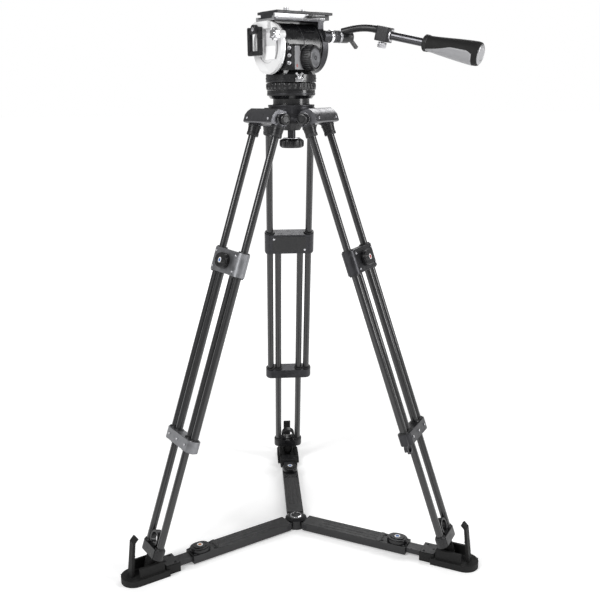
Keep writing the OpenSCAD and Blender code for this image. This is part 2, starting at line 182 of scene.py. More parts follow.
# %% [markdown]
# ## Making a piece
# `piece` joins shapes into one mesh, puts it in its place in metres, gives it a finish and hangs it on its body.
# `recast` makes a softened copy of a CAD part: its loose triangles are merged and its flats dissolved, so that a
# bevel can run round the real edges. The CAD part itself stays as it is, hidden, for the physics.

# %% Joining, bevelling and riding
def soften(obj, bevel, segments):
    for p in obj.data.polygons:
        p.use_smooth = True
    if bevel:
        m = obj.modifiers.new("soft edges", "BEVEL")
        m.width = bevel / 1000
        m.segments = segments
        m.limit_method = "ANGLE"
        m.angle_limit = math.radians(32)
        m.miter_outer = "MITER_ARC"
    w = obj.modifiers.new("flat flats", "WEIGHTED_NORMAL")
    w.weight = 60
    w.keep_sharp = True


def hang(obj, body, finish, replaces=()):
    slot, mat = finish
    if not obj.data.materials:
        obj.data.materials.append(mat)
    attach(obj, body)
    if replaces:
        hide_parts(*replaces)


def link_object(name, mesh):
    obj = bpy.data.objects.new(name, mesh)
    bpy.context.scene.collection.objects.link(obj)
    return obj


def piece(name, shapes, body, finish, replaces=(), bevel=0.5, segments=2):
    whole = bmesh.new()
    for bm, place in shapes:
        bm.transform(TO_METRES @ place)
        if place.determinant() < 0:
            bmesh.ops.reverse_faces(bm, faces=bm.faces)
        part = bpy.data.meshes.new("part")
        bm.to_mesh(part)
        bm.free()
        whole.from_mesh(part)
        bpy.data.meshes.remove(part)
    mesh = bpy.data.meshes.new(name)
    whole.to_mesh(mesh)
    whole.free()
    obj = link_object(name, mesh)
    soften(obj, bevel, segments)
    hang(obj, body, finish, replaces)


def recast(node, name, body, finish, bevel=1.0, segments=2, second=None, choose=None):
    """second is another finish for the faces that choose(centre in mm) picks."""
    bm = bmesh.new()
    bm.from_mesh(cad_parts[node].data)
    bmesh.ops.remove_doubles(bm, verts=bm.verts, dist=2e-6)
    bmesh.ops.dissolve_limit(bm, angle_limit=math.radians(0.6), verts=bm.verts, edges=bm.edges)
    mesh = bpy.data.meshes.new(name)
    bm.to_mesh(mesh)
    bm.free()
    mesh.materials.append(finish[1])
    if second:
        mesh.materials.append(second[1])
    for p in mesh.polygons:
        p.material_index = 1 if second and choose(p.center * 1000) else 0
    obj = link_object(name, mesh)
    soften(obj, bevel, segments)
    hang(obj, body, finish, (node,))


print("piece and recast ready")

# %% [markdown]
# ## Finishes
# One builder makes every opaque finish: a cloudy two-tone colour, a roughness that drifts, a fine grain in the bump,
# and a lighter tone where an edge has been handled. Values that are the same all over sit on the shader itself.

# %% Small helpers for materials
def new_material(name):
    mat = bpy.data.materials.new(name)
    mat.use_nodes = True
    nodes = mat.node_tree.nodes
    return mat, nodes, mat.node_tree.links, nodes["Principled BSDF"]


def set_inputs(node, **values):
    for label, value in values.items():
        node.inputs[label.replace("_", " ")].default_value = value
    return node


def noise(nodes, links, vector, scale, detail):
    node = set_inputs(nodes.new("ShaderNodeTexNoise"), Scale=scale, Detail=detail)
    links.new(vector, node.inputs["Vector"])
    return node.outputs["Fac"]


def map_range(nodes, links, value, **limits):
    node = set_inputs(nodes.new("ShaderNodeMapRange"), **limits)
    links.new(value, node.inputs["Value"])
    return node.outputs["Result"]


def bump(nodes, links, shader, height, strength, distance):
    node = set_inputs(nodes.new("ShaderNodeBump"), Strength=strength, Distance=distance)
    links.new(height, node.inputs["Height"])
    links.new(node.outputs["Normal"], shader.inputs["Normal"])

# %% The finish builder
def finish(slot, name, tone, rough, metal=0.0, cloud=90.0, spread=0.18, grain=2400.0, relief=0.12, drift=0.12,
           worn=0.0, coat=0.0, coat_rough=0.1, stretch=(1, 1, 1), specular=0.5):
    mat, nodes, links, shader = new_material(name)
    set_inputs(shader, Metallic=metal, Coat_Weight=coat, Coat_Roughness=coat_rough, Specular_IOR_Level=specular)
    where = nodes.new("ShaderNodeTexCoord")
    aim = set_inputs(nodes.new("ShaderNodeMapping"), Scale=stretch)
    links.new(where.outputs["Object"], aim.inputs["Vector"])
    clouds = noise(nodes, links, aim.outputs[0], cloud, 4)
    ramp = nodes.new("ShaderNodeValToRGB")
    darker, lighter = ramp.color_ramp.elements
    darker.position, lighter.position = 0.3, 0.72
    darker.color = tuple(c * (1 - spread) for c in tone) + (1,)
    lighter.color = tuple(min(1, c * (1 + spread)) for c in tone) + (1,)
    links.new(clouds, ramp.inputs["Fac"])
    colour = ramp.outputs["Color"]
    if worn:
        shape = nodes.new("ShaderNodeNewGeometry")
        edge = map_range(nodes, links, shape.outputs["Pointiness"], From_Min=0.53, From_Max=0.62, To_Max=worn)
        rubbed = nodes.new("ShaderNodeMix")
        rubbed.data_type = "RGBA"
        rubbed.inputs["B"].default_value = tuple(min(1, c * 1.8 + 0.06) for c in tone) + (1,)
        links.new(edge, rubbed.inputs["Factor"])
        links.new(colour, rubbed.inputs["A"])
        colour = rubbed.outputs["Result"]
    links.new(colour, shader.inputs["Base Color"])
    fine = noise(nodes, links, aim.outputs[0], grain, 2)
    dull = map_range(nodes, links, clouds, From_Min=0.25, From_Max=0.75, To_Min=max(0.03, rough - drift),
                     To_Max=rough + drift)
    links.new(dull, shader.inputs["Roughness"])
    bump(nodes, links, shader, fine, relief, 0.0002)
    return slot, mat


BLACK_CAST = finish("cast_black", "satin_black_casting", (0.012, 0.012, 0.014), 0.36, grain=1500, relief=0.25,
                    worn=0.35, specular=0.4)
GLOSS_BLACK = finish("cast_black", "gloss_black_casting", (0.006, 0.006, 0.007), 0.24, grain=900, relief=0.08,
                     worn=0.15, coat=0.35, coat_rough=0.1, specular=0.4)
GREY_CAST = finish("cast_grey", "dark_grey_metallic", (0.045, 0.045, 0.049), 0.36, metal=0.8, grain=1800, relief=0.22,
                   worn=0.8)
SILVER_CAST = finish("cast_silver", "blasted_silver_grey", (0.24, 0.243, 0.255), 0.4, metal=0.8, grain=2200,
                     relief=0.25, worn=0.7)
SHOULDER = finish("cast_grey", "shoulder_grey_metallic", (0.085, 0.085, 0.092), 0.34, metal=0.8, grain=1800,
                  relief=0.2, worn=0.8)
MOULDED = finish("moulded_black", "moulded_black_plastic", (0.009, 0.009, 0.01), 0.46, grain=1600, relief=0.35,
                 worn=0.25)
SMOOTH_BLACK = finish("moulded_black", "smooth_black_plastic", (0.007, 0.007, 0.008), 0.32, grain=1000, relief=0.1,
                      worn=0.12, specular=0.45)
RUBBER = finish("rubber_black", "matt_black_rubber", (0.009, 0.009, 0.009), 0.72, grain=1100, relief=0.5, drift=0.08,
                specular=0.3)
DISC_PAINT = finish("disc_grey", "light_grey_paint", (0.66, 0.66, 0.665), 0.4, cloud=50, spread=0.04, grain=1300,
                    relief=0.1, worn=0.2, coat=0.15, coat_rough=0.2)
LABEL = finish("disc_grey", "blank_white_label", (0.86, 0.86, 0.86), 0.45, cloud=40, spread=0.03, grain=900,
               relief=0.06)
PANEL_PAINT = finish("panel_grey", "mid_grey_paint", (0.27, 0.27, 0.28), 0.42, cloud=60, spread=0.06, grain=1500,
                     relief=0.15, worn=0.3)
BLACK_SCREW = finish("cast_black", "blackened_screw_steel", (0.03, 0.03, 0.032), 0.36, metal=0.7, grain=1200,
                     relief=0.1, worn=0.5)
BRIGHT = finish("bright", "bright_chrome", (0.82, 0.82, 0.84), 0.12, metal=1.0, spread=0.04, drift=0.06, grain=700,
                relief=0.03)
STEEL = finish("steel", "brushed_steel", (0.56, 0.56, 0.58), 0.3, metal=1.0, spread=0.1, grain=1500, relief=0.18,
               stretch=(1, 1, 0.05))
ROD_FINISH = finish("cast_grey", "satin_grey_rod", (0.07, 0.07, 0.075), 0.22, metal=0.85, spread=0.08, grain=1500,
                    relief=0.1)
RAIL_GREY = finish("panel_grey", "anodised_rail_grey", (0.4, 0.4, 0.41), 0.36, metal=0.7, spread=0.08, grain=1600,
                   relief=0.15, stretch=(0.1, 1, 1))
DOT_BLUE = finish("panel_grey", "blue_dot_paint", (0.06, 0.16, 0.42), 0.35, spread=0.08, relief=0.05)
DOT_RED = finish("panel_grey", "red_dot_paint", (0.45, 0.05, 0.04), 0.35, spread=0.08, relief=0.05)
DOT_ORANGE = finish("panel_grey", "copper_dot_paint", (0.5, 0.2, 0.08), 0.35, spread=0.08, relief=0.05)
print("finishes:", len(bpy.data.materials))

# %% [markdown]
# ## Carbon fibre
# Twill cloth goes over and under in diagonal steps. On the tubes we count millimetres round and along in the UV map:
# a checker picks which thread lies on top, two band patterns shade the threads, and a clear coat lies over it all.

# %% The carbon weave
def carbon_weave():
    mat, nodes, links, shader = new_material("clear_coated_carbon")
    set_inputs(shader, Coat_Weight=0.7, Coat_Roughness=0.1, Specular_IOR_Level=0.45)
    where = nodes.new("ShaderNodeUVMap")
    where.uv_map = "UVMap"
    lean = set_inputs(nodes.new("ShaderNodeMapping"), Rotation=(0, 0, math.radians(45)))
    links.new(where.outputs["UV"], lean.inputs["Vector"])
    top = set_inputs(nodes.new("ShaderNodeTexChecker"), Scale=0.5, Color1=(0, 0, 0, 1), Color2=(1, 1, 1, 1))
    links.new(lean.outputs[0], top.inputs["Vector"])
    cloth = nodes.new("ShaderNodeMix")
    cloth.data_type = "FLOAT"
    links.new(top.outputs["Fac"], cloth.inputs["Factor"])
    for direction, side in (("X", "A"), ("Y", "B")):
        band = set_inputs(nodes.new("ShaderNodeTexWave"), Scale=0.5)
        band.bands_direction = direction
        links.new(lean.outputs[0], band.inputs["Vector"])
        links.new(band.outputs["Fac"], cloth.inputs[side])
    tone = nodes.new("ShaderNodeValToRGB")
    tone.color_ramp.elements[0].color = (0.003, 0.003, 0.0034, 1)
    tone.color_ramp.elements[1].color = (0.012, 0.012, 0.0135, 1)
    links.new(cloth.outputs["Result"], tone.inputs["Fac"])
    links.new(tone.outputs["Color"], shader.inputs["Base Color"])
    links.new(map_range(nodes, links, top.outputs["Fac"], To_Min=0.3, To_Max=0.48), shader.inputs["Roughness"])
    bump(nodes, links, shader, cloth.outputs["Result"], 0.15, 0.0001)
    return "carbon", mat


CARBON = carbon_weave()
print("carbon weave ready")

# %% [markdown]
# ## Camera, floor and light
# The camera stands a little under two metres in front, about level with the head, and looks down 14 degrees. The
# floor and the surroundings are a plain pale white, with one soft light on the left, a weaker one on the right and
# one behind for the rims, as in a small product studio. The floor glows more away from the tripod, like a backdrop
# with its own lamps. The surround is white to look at but dimmer as a light, so black parts stay black.

# %% Camera
def aim_matrix(heading, down, roll):
    h, d, r = (math.radians(v) for v in (heading, down, roll))
    look = Vector((math.sin(h) * math.cos(d), math.cos(h) * math.cos(d), -math.sin(d)))
    side = Vector((math.cos(h), -math.sin(h), 0))
    up = side.cross(look)
    right = side * math.cos(r) - up * math.sin(r)
    top = side * math.sin(r) + up * math.cos(r)
    return Matrix((right, top, -look)).transposed().to_4x4()


lens = bpy.data.cameras.new("camera")
lens.sensor_width = 36
lens.lens = 49.3
camera = link_object("camera", lens)
camera.matrix_world = shift(-0.095, -1.6985, 0.9529) @ aim_matrix(heading=3.67, down=13.97, roll=0.54)
bpy.context.scene.camera = camera
print("camera at", [round(v, 3) for v in camera.location])

# %% Floor and lights
FLOOR_HALF, FLOOR_Z = 40, -0.0006  # metres; just under the plates, so that it doesn't flicker with them


def pale_floor():
    mesh = bpy.data.meshes.new("floor")
    corners = ((-1, -1), (1, -1), (1, 1), (-1, 1))
    mesh.from_pydata([(x * FLOOR_HALF, y * FLOOR_HALF, FLOOR_Z) for x, y in corners], [], [(0, 1, 2, 3)])
    floor = link_object("floor", mesh)
    mat, nodes, links, shader = new_material("pale_floor")
    set_inputs(shader, Roughness=0.9, Specular_IOR_Level=0.1, Base_Color=(0.93, 0.93, 0.93, 1),
               Emission_Color=(1, 1, 1, 1))
    where = nodes.new("ShaderNodeTexCoord")
    away = nodes.new("ShaderNodeVectorMath")
    away.operation = "LENGTH"
    links.new(where.outputs["Object"], away.inputs[0])
    glow = map_range(nodes, links, away.outputs["Value"], From_Min=0.9, From_Max=2.4, To_Min=0.28, To_Max=0.85)
    links.new(glow, shader.inputs["Emission Strength"])
    mesh.materials.append(mat)
    floor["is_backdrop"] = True


def soft_light(name, place, target, size, power):
    lamp = bpy.data.lights.new(name, "AREA")
    lamp.shape = "RECTANGLE"
    lamp.size, lamp.size_y = size
    lamp.energy = power
    obj = link_object(name, lamp)
    obj.location = place
    obj.rotation_euler = (Vector(target) - Vector(place)).to_track_quat("-Z", "Y").to_euler()


pale_floor()
soft_light("key_left", (-1.6, -1.5, 2.2), (0, 0, 0.8), (0.9, 1.6), 46)
soft_light("fill_right", (2.0, -1.0, 1.5), (0, 0, 0.7), (0.6, 1.5), 30)
soft_light("rim_back", (0.6, 2.0, 2.2), (0, 0, 0.8), (1.8, 1.0), 26)
world = bpy.data.worlds.new("studio")
world.use_nodes = True
nodes, links = world.node_tree.nodes, world.node_tree.links
back = set_inputs(nodes["Background"], Color=(1, 1, 1, 1))
ray = nodes.new("ShaderNodeLightPath")
links.new(map_range(nodes, links, ray.outputs["Is Camera Ray"], To_Min=0.24, To_Max=1.0), back.inputs["Strength"])
bpy.context.scene.world = world
bpy.context.scene.view_settings.view_transform = "Standard"
print("floor, three soft lights and a white surround")

# %% [markdown]
# ## Geometry Nodes: what repeats
# Knurls, screws, pad ribs and threads are one small shape many times over. A node tree holds the rule, and its named
# inputs hold the sizes, so one tree serves every knob. Each result is turned into a plain mesh straight away.

# %% Building and growing a tree
def new_tree(name, **sizes):
    """every tree takes points and its sizes, and a finish for what it grows."""
    tree = bpy.data.node_groups.new(name, "GeometryNodeTree")
    tree.interface.new_socket("Geometry", in_out="INPUT", socket_type="NodeSocketGeometry")
    for label, value in sizes.items():
        kind = "NodeSocketInt" if isinstance(value, int) else "NodeSocketFloat"
        tree.interface.new_socket(label, in_out="INPUT", socket_type=kind).default_value = value
    tree.interface.new_socket("Finish", in_out="INPUT", socket_type="NodeSocketMaterial")
    tree.interface.new_socket("Geometry", in_out="OUTPUT", socket_type="NodeSocketGeometry")
    return tree, tree.nodes.new("NodeGroupInput").outputs


def add(tree, kind, links=None, **settings):
    """adds a node; links gives each of its sockets another socket or a value."""
    node = tree.nodes.new(kind)
    for key, value in settings.items():
        setattr(node, key, value)
    for socket, value in (links or {}).items():
        if isinstance(value, bpy.types.NodeSocket):
            tree.links.new(value, node.inputs[socket])
        else:
            node.inputs[socket].default_value = value
    return node.outputs[0]


def maths(tree, operation, *values):
    return add(tree, "ShaderNodeMath", dict(enumerate(values)), operation=operation)


def vector(tree, **axes):
    return add(tree, "ShaderNodeCombineXYZ", axes)


def line_between_ends(tree, end):
    start = add(tree, "ShaderNodeVectorMath", {0: end, "Scale": -1.0}, operation="SCALE")
    return add(tree, "GeometryNodeCurvePrimitiveLine", {"Start": start, "End": end})


def centred_power(tree, exponent):
    """0 in the middle of a curve and 1 at both ends, flatter in the middle as the exponent grows."""
    along = add(tree, "GeometryNodeSplineParameter")
    return maths(tree, "POWER", maths(tree, "MULTIPLY_ADD", along, 2.0, -1.0), exponent)


def sweep(tree, curve, resolution, radius, scale=None):
    """sweeps a round section along a curve; scale, if given, sizes a unit section along the way."""
    if scale is not None:
        curve = add(tree, "GeometryNodeSetCurveRadius", {"Curve": curve, "Radius": scale})
    circle = add(tree, "GeometryNodeCurvePrimitiveCircle", {"Resolution": resolution, "Radius": radius})
    swept = add(tree, "GeometryNodeCurveToMesh", {"Curve": curve, "Profile Curve": circle, "Fill Caps": True})
    if scale is not None and "Scale" in swept.node.inputs:
        tree.links.new(scale, swept.node.inputs["Scale"])
    return swept


def copies(tree, points, instance, **more):
    return add(tree, "GeometryNodeInstanceOnPoints", {"Points": points, "Instance": instance, **more})


def close_tree(tree, given, geometry):
    real = add(tree, "GeometryNodeRealizeInstances", {"Geometry": geometry})
    painted = add(tree, "GeometryNodeSetMaterial", {"Geometry": real, "Material": given["Finish"]})
    tree.links.new(painted, tree.nodes.new("NodeGroupOutput").inputs[0])
    print("tree", tree.name, "has", len(tree.nodes), "nodes")
    return tree


def grow(tree, finish, points=((0, 0, 0),), **values):
    """runs a tree on a few points (mm) and gives back the plain mesh as a bmesh."""
    values["Finish"] = finish[1]
    seed = bpy.data.meshes.new("seed")
    seed.from_pydata([tuple(p) for p in points], [], [])
    obj = link_object("seed", seed)
    m = obj.modifiers.new("tree", "NODES")
    m.node_group = tree
    for item in tree.interface.items_tree:
        if item.item_type == "SOCKET" and item.in_out == "INPUT" and item.name in values:
            m[item.identifier] = values[item.name]
    graph = bpy.context.evaluated_depsgraph_get()
    mesh = bpy.data.meshes.new_from_object(obj.evaluated_get(graph), depsgraph=graph)
    obj.modifiers.clear()
    bm = bmesh.new()
    bm.from_mesh(mesh)
    for f in bm.faces:
        f.material_index = 0
    bpy.data.meshes.remove(mesh)
    bpy.data.objects.remove(obj)
    bpy.data.meshes.remove(seed)
    return bm

# %% [markdown]
# **Ribs round a ring.** A knurled ring is a row of rounded ribs. Each rib is a short line swept with a small circle
# that thins towards both ends; a circle's points carry the ribs, and the index of each point gives its turn.

# %% Tree: ribs round a ring
def rib_ring_tree():
    tree, given = new_tree("ribs_round_a_ring", Count=24, Radius=20.0, Height=10.0, Width=2.0, Depth=0.5)
    line = line_between_ends(tree, vector(tree, Z=maths(tree, "MULTIPLY", given["Height"], 0.5)))
    steps = add(tree, "GeometryNodeResampleCurve", {"Curve": line, "Count": 7})
    thin = maths(tree, "MULTIPLY_ADD", centred_power(tree, 6.0), -0.65, 1.0)
    scale = maths(tree, "MULTIPLY", thin, maths(tree, "MULTIPLY", given["Width"], 0.5))
    rib = sweep(tree, steps, 8, 1.0, scale)
    flat = vector(tree, X=given["Depth"], Y=1.0, Z=1.0)
    shaped = add(tree, "GeometryNodeTransform", {"Geometry": rib, "Scale": flat})
    ring = add(tree, "GeometryNodeMeshCircle", {"Vertices": given["Count"], "Radius": given["Radius"]})
    part = maths(tree, "DIVIDE", 2 * math.pi, given["Count"])
    angle = maths(tree, "MULTIPLY", add(tree, "GeometryNodeInputIndex"), part)
    return close_tree(tree, given, copies(tree, ring, shaped, Rotation=vector(tree, Z=angle)))


RIB_RING = rib_ring_tree()

# %% [markdown]
# **Cap screws.** A socket head screw is a short cylinder with a chamfered rim and a six-sided hole. The tree makes one
# and puts a copy on each point it is given.

# %% Tree: cap screws at points
def screw_tree():
    tree, given = new_tree("cap_screws", Head_radius=2.5, Head_height=1.5, Socket_radius=1.4)
    radius, height = given["Head_radius"], given["Head_height"]
    body = add(tree, "GeometryNodeMeshCylinder", {"Vertices": 24, "Radius": radius, "Depth": height})
    cap = add(tree, "GeometryNodeMeshCone", {
        "Vertices": 24, "Radius Top": maths(tree, "MULTIPLY", radius, 0.82), "Radius Bottom": radius,
        "Depth": maths(tree, "MULTIPLY", height, 0.3)})
    up = vector(tree, Z=maths(tree, "MULTIPLY", height, 0.5))
    raised = add(tree, "GeometryNodeTransform", {"Geometry": cap, "Translation": up})
    hexagon = add(tree, "GeometryNodeMeshCylinder",
                  {"Vertices": 6, "Radius": given["Socket_radius"], "Depth": height})
    socket = add(tree, "GeometryNodeTransform", {"Geometry": hexagon, "Translation": vector(tree, Z=height)})
    head = add(tree, "GeometryNodeMeshBoolean", operation="UNION")
    for solid in (body, raised):
        tree.links.new(solid, head.node.inputs["Mesh 2"])
    cut = add(tree, "GeometryNodeMeshBoolean", {"Mesh 1": head, "Mesh 2": socket}, operation="DIFFERENCE")
    return close_tree(tree, given, copies(tree, given["Geometry"], cut))


SCREWS = screw_tree()

# %% [markdown]
# **Rows of ribs.** The plate's rubber pad, the foot plates and the rails all have straight parallel ribs. One rounded
# bar is repeated along a line.

# %% Tree: rows of ribs
def rib_row_tree():
    tree, given = new_tree("rows_of_ribs", Count=10, Span=40.0, Length=30.0, Width=1.6, Height=0.8)
    line = line_between_ends(tree, vector(tree, Y=maths(tree, "MULTIPLY", given["Length"], 0.5)))
    radius = maths(tree, "MULTIPLY", given["Width"], 0.5)
    bar = sweep(tree, line, 8, radius)
    squash = vector(tree, X=1.0, Y=1.0, Z=maths(tree, "DIVIDE", given["Height"], radius))
    low = add(tree, "GeometryNodeTransform", {"Geometry": bar, "Scale": squash})
    first = vector(tree, X=maths(tree, "MULTIPLY", given["Span"], -0.5))
    step = maths(tree, "DIVIDE", given["Span"], maths(tree, "ADD", given["Count"], -1.0))
    row = add(tree, "GeometryNodeMeshLine", {
        "Count": given["Count"], "Start Location": first, "Offset": vector(tree, X=step)})
    return close_tree(tree, given, copies(tree, row, low))


RIB_ROWS = rib_row_tree()

# %% [markdown]
# **Screw thread.** A thread is a helix swept with a small section of four corners. The spiral node gives the helix,
# and the sweep gives the ridge that stands on the plain pin of a camera screw.

# %% Tree: thread
def thread_tree():
    tree, given = new_tree("screw_thread", Turns=8.0, Radius=4.0, Height=8.0, Ridge=0.5)
    helix = add(tree, "GeometryNodeCurveSpiral", {
        "Resolution": 32, "Rotations": given["Turns"], "Start Radius": given["Radius"],
        "End Radius": given["Radius"], "Height": given["Height"]})
    return close_tree(tree, given, sweep(tree, helix, 4, given["Ridge"]))


THREAD = thread_tree()

# %% [markdown]
# **Swept bar.** The neck of the pan bar is an arch that swells a little towards both ends, where it meets the
# rosette and the rod clamp. It follows a rule, so a tree sweeps it: an arc, a round section and a size along it.

# %% Tree: swept arch
def arch_tree():
    tree, given = new_tree("swept_arch", Arc_radius=140.0, Start_angle=1.27, Sweep_angle=0.6, Section=7.0, Swell=0.25)
    arc = add(tree, "GeometryNodeCurveArc", {
        "Resolution": 28, "Radius": given["Arc_radius"], "Start Angle": given["Start_angle"],
        "Sweep Angle": given["Sweep_angle"]})
    swell = maths(tree, "MULTIPLY_ADD", centred_power(tree, 4.0), given["Swell"], 1.0)
    return close_tree(tree, given, sweep(tree, arc, 28, 1.0, maths(tree, "MULTIPLY", swell, given["Section"])))


ARCH = arch_tree()

# %% [markdown]
# ## Legs: tubes
# Each leg is two pairs of carbon tubes, the thin inner pair sliding inside the castings of the outer pair. They are
# open tubes with a real wall, and their UV map carries the weave.

# %% Carbon tubes
OUTER_HALF, INNER_HALF = 44, 25  # half the distance between the two tubes of a pair
TUBE_R, TUBE_BORE = 7.5, 6


def leg_pair(i, half, z0, z1):
    return [(pipe(TUBE_R, TUBE_BORE, z0, z1), LEG[i] @ shift(0, k * half, 0)) for k in (-1, 1)]


for i in LEGS:
    for which, half, z0, z1, body in (("outer", OUTER_HALF, -676.8, -14.2, "leg"),
                                      ("inner", INNER_HALF, -905, -277.2, "leg_low")):
        piece(f"{which}_carbon_tubes_{i}", leg_pair(i, half, z0, z1), f"{body}_{i}", CARBON, (f"{which}_tubes_{i}",),
              bevel=0.2, segments=1)
print("12 tubes on 3 legs")

# %% [markdown]
# ## Legs: hinge bracket
# The shoulder of a leg is a die casting that straddles the crown lug. It is dark grey metal above, and black
# tapered sockets hang below it, which grip the outer tubes. One softened copy of the CAD casting has both finishes:
# the faces below the shoulder line are black. Moulded collars and cap screws are added.

# %% Brackets, sockets and their screws
SCREW_HEAD = dict(Head_radius=2.6, Head_height=1.6, Socket_radius=1.4)


def screws(name, points, place, body, finish=STEEL):
    heads = grow(SCREWS, finish, points, **SCREW_HEAD)
    piece(name, [(heads, place)], body, finish, bevel=0.15, segments=1)


for i in LEGS:
    back = LEG[i].inverted()
    recast(f"leg_bracket_{i}", f"shoulder_casting_{i}", f"leg_{i}", SHOULDER, 2.0, 3, SMOOTH_BLACK,
           lambda c, back=back: (back @ c).z < -15.4)
    collars = []
    for k in (-1, 1):
        place = LEG[i] @ shift(0, k * OUTER_HALF, 0)
        collars.append((hoop([(7.8, -36.4), (11.6, -36.4), (12.2, -35.4), (12.2, -30.6), (11.6, -29.8),
                              (7.8, -29.8)]), place))
        collars.append((hoop([(12.0, -19), (13.4, -18.4), (13.6, -15.8), (12.2, -15.2)]), place))
    piece(f"socket_collars_{i}", collars, f"leg_{i}", MOULDED, bevel=0.3)
    front = LEG[i] @ shift(24, 0, -6.5) @ ALONG_X
    screws(f"bracket_screws_{i}", ((0, -40, 0.7), (0, 40, 0.7)), front, f"leg_{i}")
    cap = lathe([(0, 52.6), (8.6, 52.6), (8.6, 54.6), (7.8, 55.4), (0, 55.4)])
    piece(f"hinge_cap_{i}", [(cap, LEG[i] @ turn("X", 90 * KNOB_SIDE[i]))], f"leg_{i}", GREY_CAST, bevel=0.3)
print("3 brackets with collars and screws")

# %% [markdown]
# The hinge tension knob is a small knurled thumb wheel with a grey washer behind it.

# %% Tension knobs
for i in LEGS:
    side = LEG[i] @ turn("X", -90 * KNOB_SIDE[i])
    wheel = lathe([(0, 53.6), (10.2, 53.6), (10.6, 54.2), (10.6, 64.5), (9.4, 66.4), (7.2, 66.9), (6.6, 66.2),
                   (6.2, 65.4), (0, 65.2)])
    knurl = grow(RIB_RING, SMOOTH_BLACK, Count=30, Radius=10.5, Height=9.5, Width=1.7, Depth=0.6)
    piece(f"thumb_wheel_{i}", [(wheel, side), (knurl, side @ shift(0, 0, 59.4))], f"tension_knob_{i}", SMOOTH_BLACK,
          (f"tension_knob_{i}",), bevel=0.3)
    piece(f"grey_washer_{i}", [(hoop([(4.6, 52.9), (11.6, 52.9), (11.6, 53.45), (4.6, 53.45)]), side)], f"leg_{i}",
          RAIL_GREY, bevel=0.15)
print("3 thumb wheels")

# %% [markdown]
# ## Legs: sliding carriage and lower guide
# The carriage is the top end of the inner tubes. It slides on the outer tubes and carries the lock lever. The guide
# closes the outer tubes below. Every leg has the same castings; the left leg's are silver grey as painted light,
# standing for its lit front faces, and the others are dark grey.

# %% Carriages and guides
# painted light: one casting on every leg, silver grey on the left leg where its front faces are lit, dark grey
# elsewhere
SLIDER_PAINTED_LIGHT = {1: GREY_CAST, 2: SILVER_CAST, 3: GREY_CAST}
CARRIAGE_Z, GUIDE_Z, FACE_X = -295, -667, 14  # mid heights down the leg, and the front face of both castings
for i in LEGS:
    recast(f"carriage_{i}", f"carriage_casting_{i}", f"leg_low_{i}", SLIDER_PAINTED_LIGHT[i], 1.8, 3)
    recast(f"leg_guide_{i}", f"guide_casting_{i}", f"leg_{i}", SLIDER_PAINTED_LIGHT[i], 1.6, 3)
    sleeves, wipers = [], []
    for k in (-1, 1):
        outer = LEG[i] @ shift(0, k * OUTER_HALF, 0)
        inner = LEG[i] @ shift(0, k * INNER_HALF, 0)
        for z0, z1 in ((-271.6, -268.4), (-321.6, -318.6)):
            sleeves.append((hoop([(7.8, z0), (11.2, z0), (11.2, z1), (7.8, z1)]), outer))
        wipers.append((hoop([(7.8, -681.6), (10.4, -681.6), (10.8, -678.4), (7.8, -678.4)]), inner))
        wipers.append((lathe([(0, -680.4), (8.4, -680.4), (9.2, -678.4), (0, -678.4)]), outer))
        wipers.append((hoop([(7.8, -655.6), (10.8, -655.6), (10.2, -652.6), (7.8, -652.6)]), inner))
        wipers.append((hoop([(7.6, -655.6), (10.8, -655.6), (10.2, -652.6), (7.6, -652.6)]), outer))
    piece(f"carriage_sleeves_{i}", sleeves, f"leg_low_{i}", MOULDED, bevel=0.4)
    piece(f"guide_wipers_{i}", wipers, f"leg_{i}", MOULDED, bevel=0.4)
    face = LEG[i] @ shift(FACE_X, 0, CARRIAGE_Z) @ ALONG_X
    screws(f"carriage_screws_{i}", [(x, y, 0.6) for y in (-40, 40) for x in (-16, 16)], face, f"leg_low_{i}")
    rear = LEG[i] @ shift(-FACE_X, 0, CARRIAGE_Z) @ turn("Y", -90)
    screws(f"carriage_rear_screws_{i}", ((-14, -35, 0.6), (14, 35, 0.6)), rear, f"leg_low_{i}")
    plate_back = prism(round_rect(40, 76, 6), -0.4, 0.9)
    piece(f"carriage_rear_cover_{i}", [(plate_back, rear)], f"leg_low_{i}", MOULDED, bevel=0.5)
    low = LEG[i] @ shift(FACE_X, 0, GUIDE_Z) @ ALONG_X
    screws(f"guide_screws_{i}", [(0, y, 0.5) for y in (-35, 0, 35)], low, f"leg_{i}")
print("3 carriages and 3 guides")

# %% [markdown]
# The lever is an oval turn knob: a quarter turn clamps the leg. It is glossy black with a raised rim, a finger bar
# across it and a small coloured dot at the centre, which shows if the leg is locked.

# %% Leg levers
DOT = {1: DOT_ORANGE, 2: DOT_BLUE, 3: DOT_RED}
for i in LEGS:
    seat = LEG[i] @ shift(FACE_X, 0, CARRIAGE_Z) @ ALONG_X
    body = prism(oval(15.8, 22.4, power=2.3), 0.6, 7.6)
    rim = prism(oval(15.0, 21.6, power=2.3), 7.4, 9.6)
    bar = prism(oval(4.6, 20.2, power=3.2), 9.0, 10.6)
    piece(f"oval_lever_{i}", [(body, seat), (rim, seat), (bar, seat)], f"leg_lever_{i}", SMOOTH_BLACK,
          (f"leg_lever_{i}",), bevel=1.1, segments=3)
    piece(f"lever_ring_{i}", [(hoop([(3.6, 10.2), (5.6, 10.2), (5.4, 11.0), (3.8, 11.0)]), seat)], f"leg_lever_{i}",
          LABEL, bevel=0.15)
    piece(f"lever_dot_{i}", [(lathe([(0, 10.3), (3.4, 10.3), (3.3, 10.9), (2.4, 11.1), (0, 11.2)], 32), seat)],
          f"leg_lever_{i}", DOT[i], bevel=0.1)
print("3 oval levers")

# %% [markdown]
# ## Feet
# The inner tubes end in a black bridge with a round eyelet for a strap, and a rubber ball foot below it.

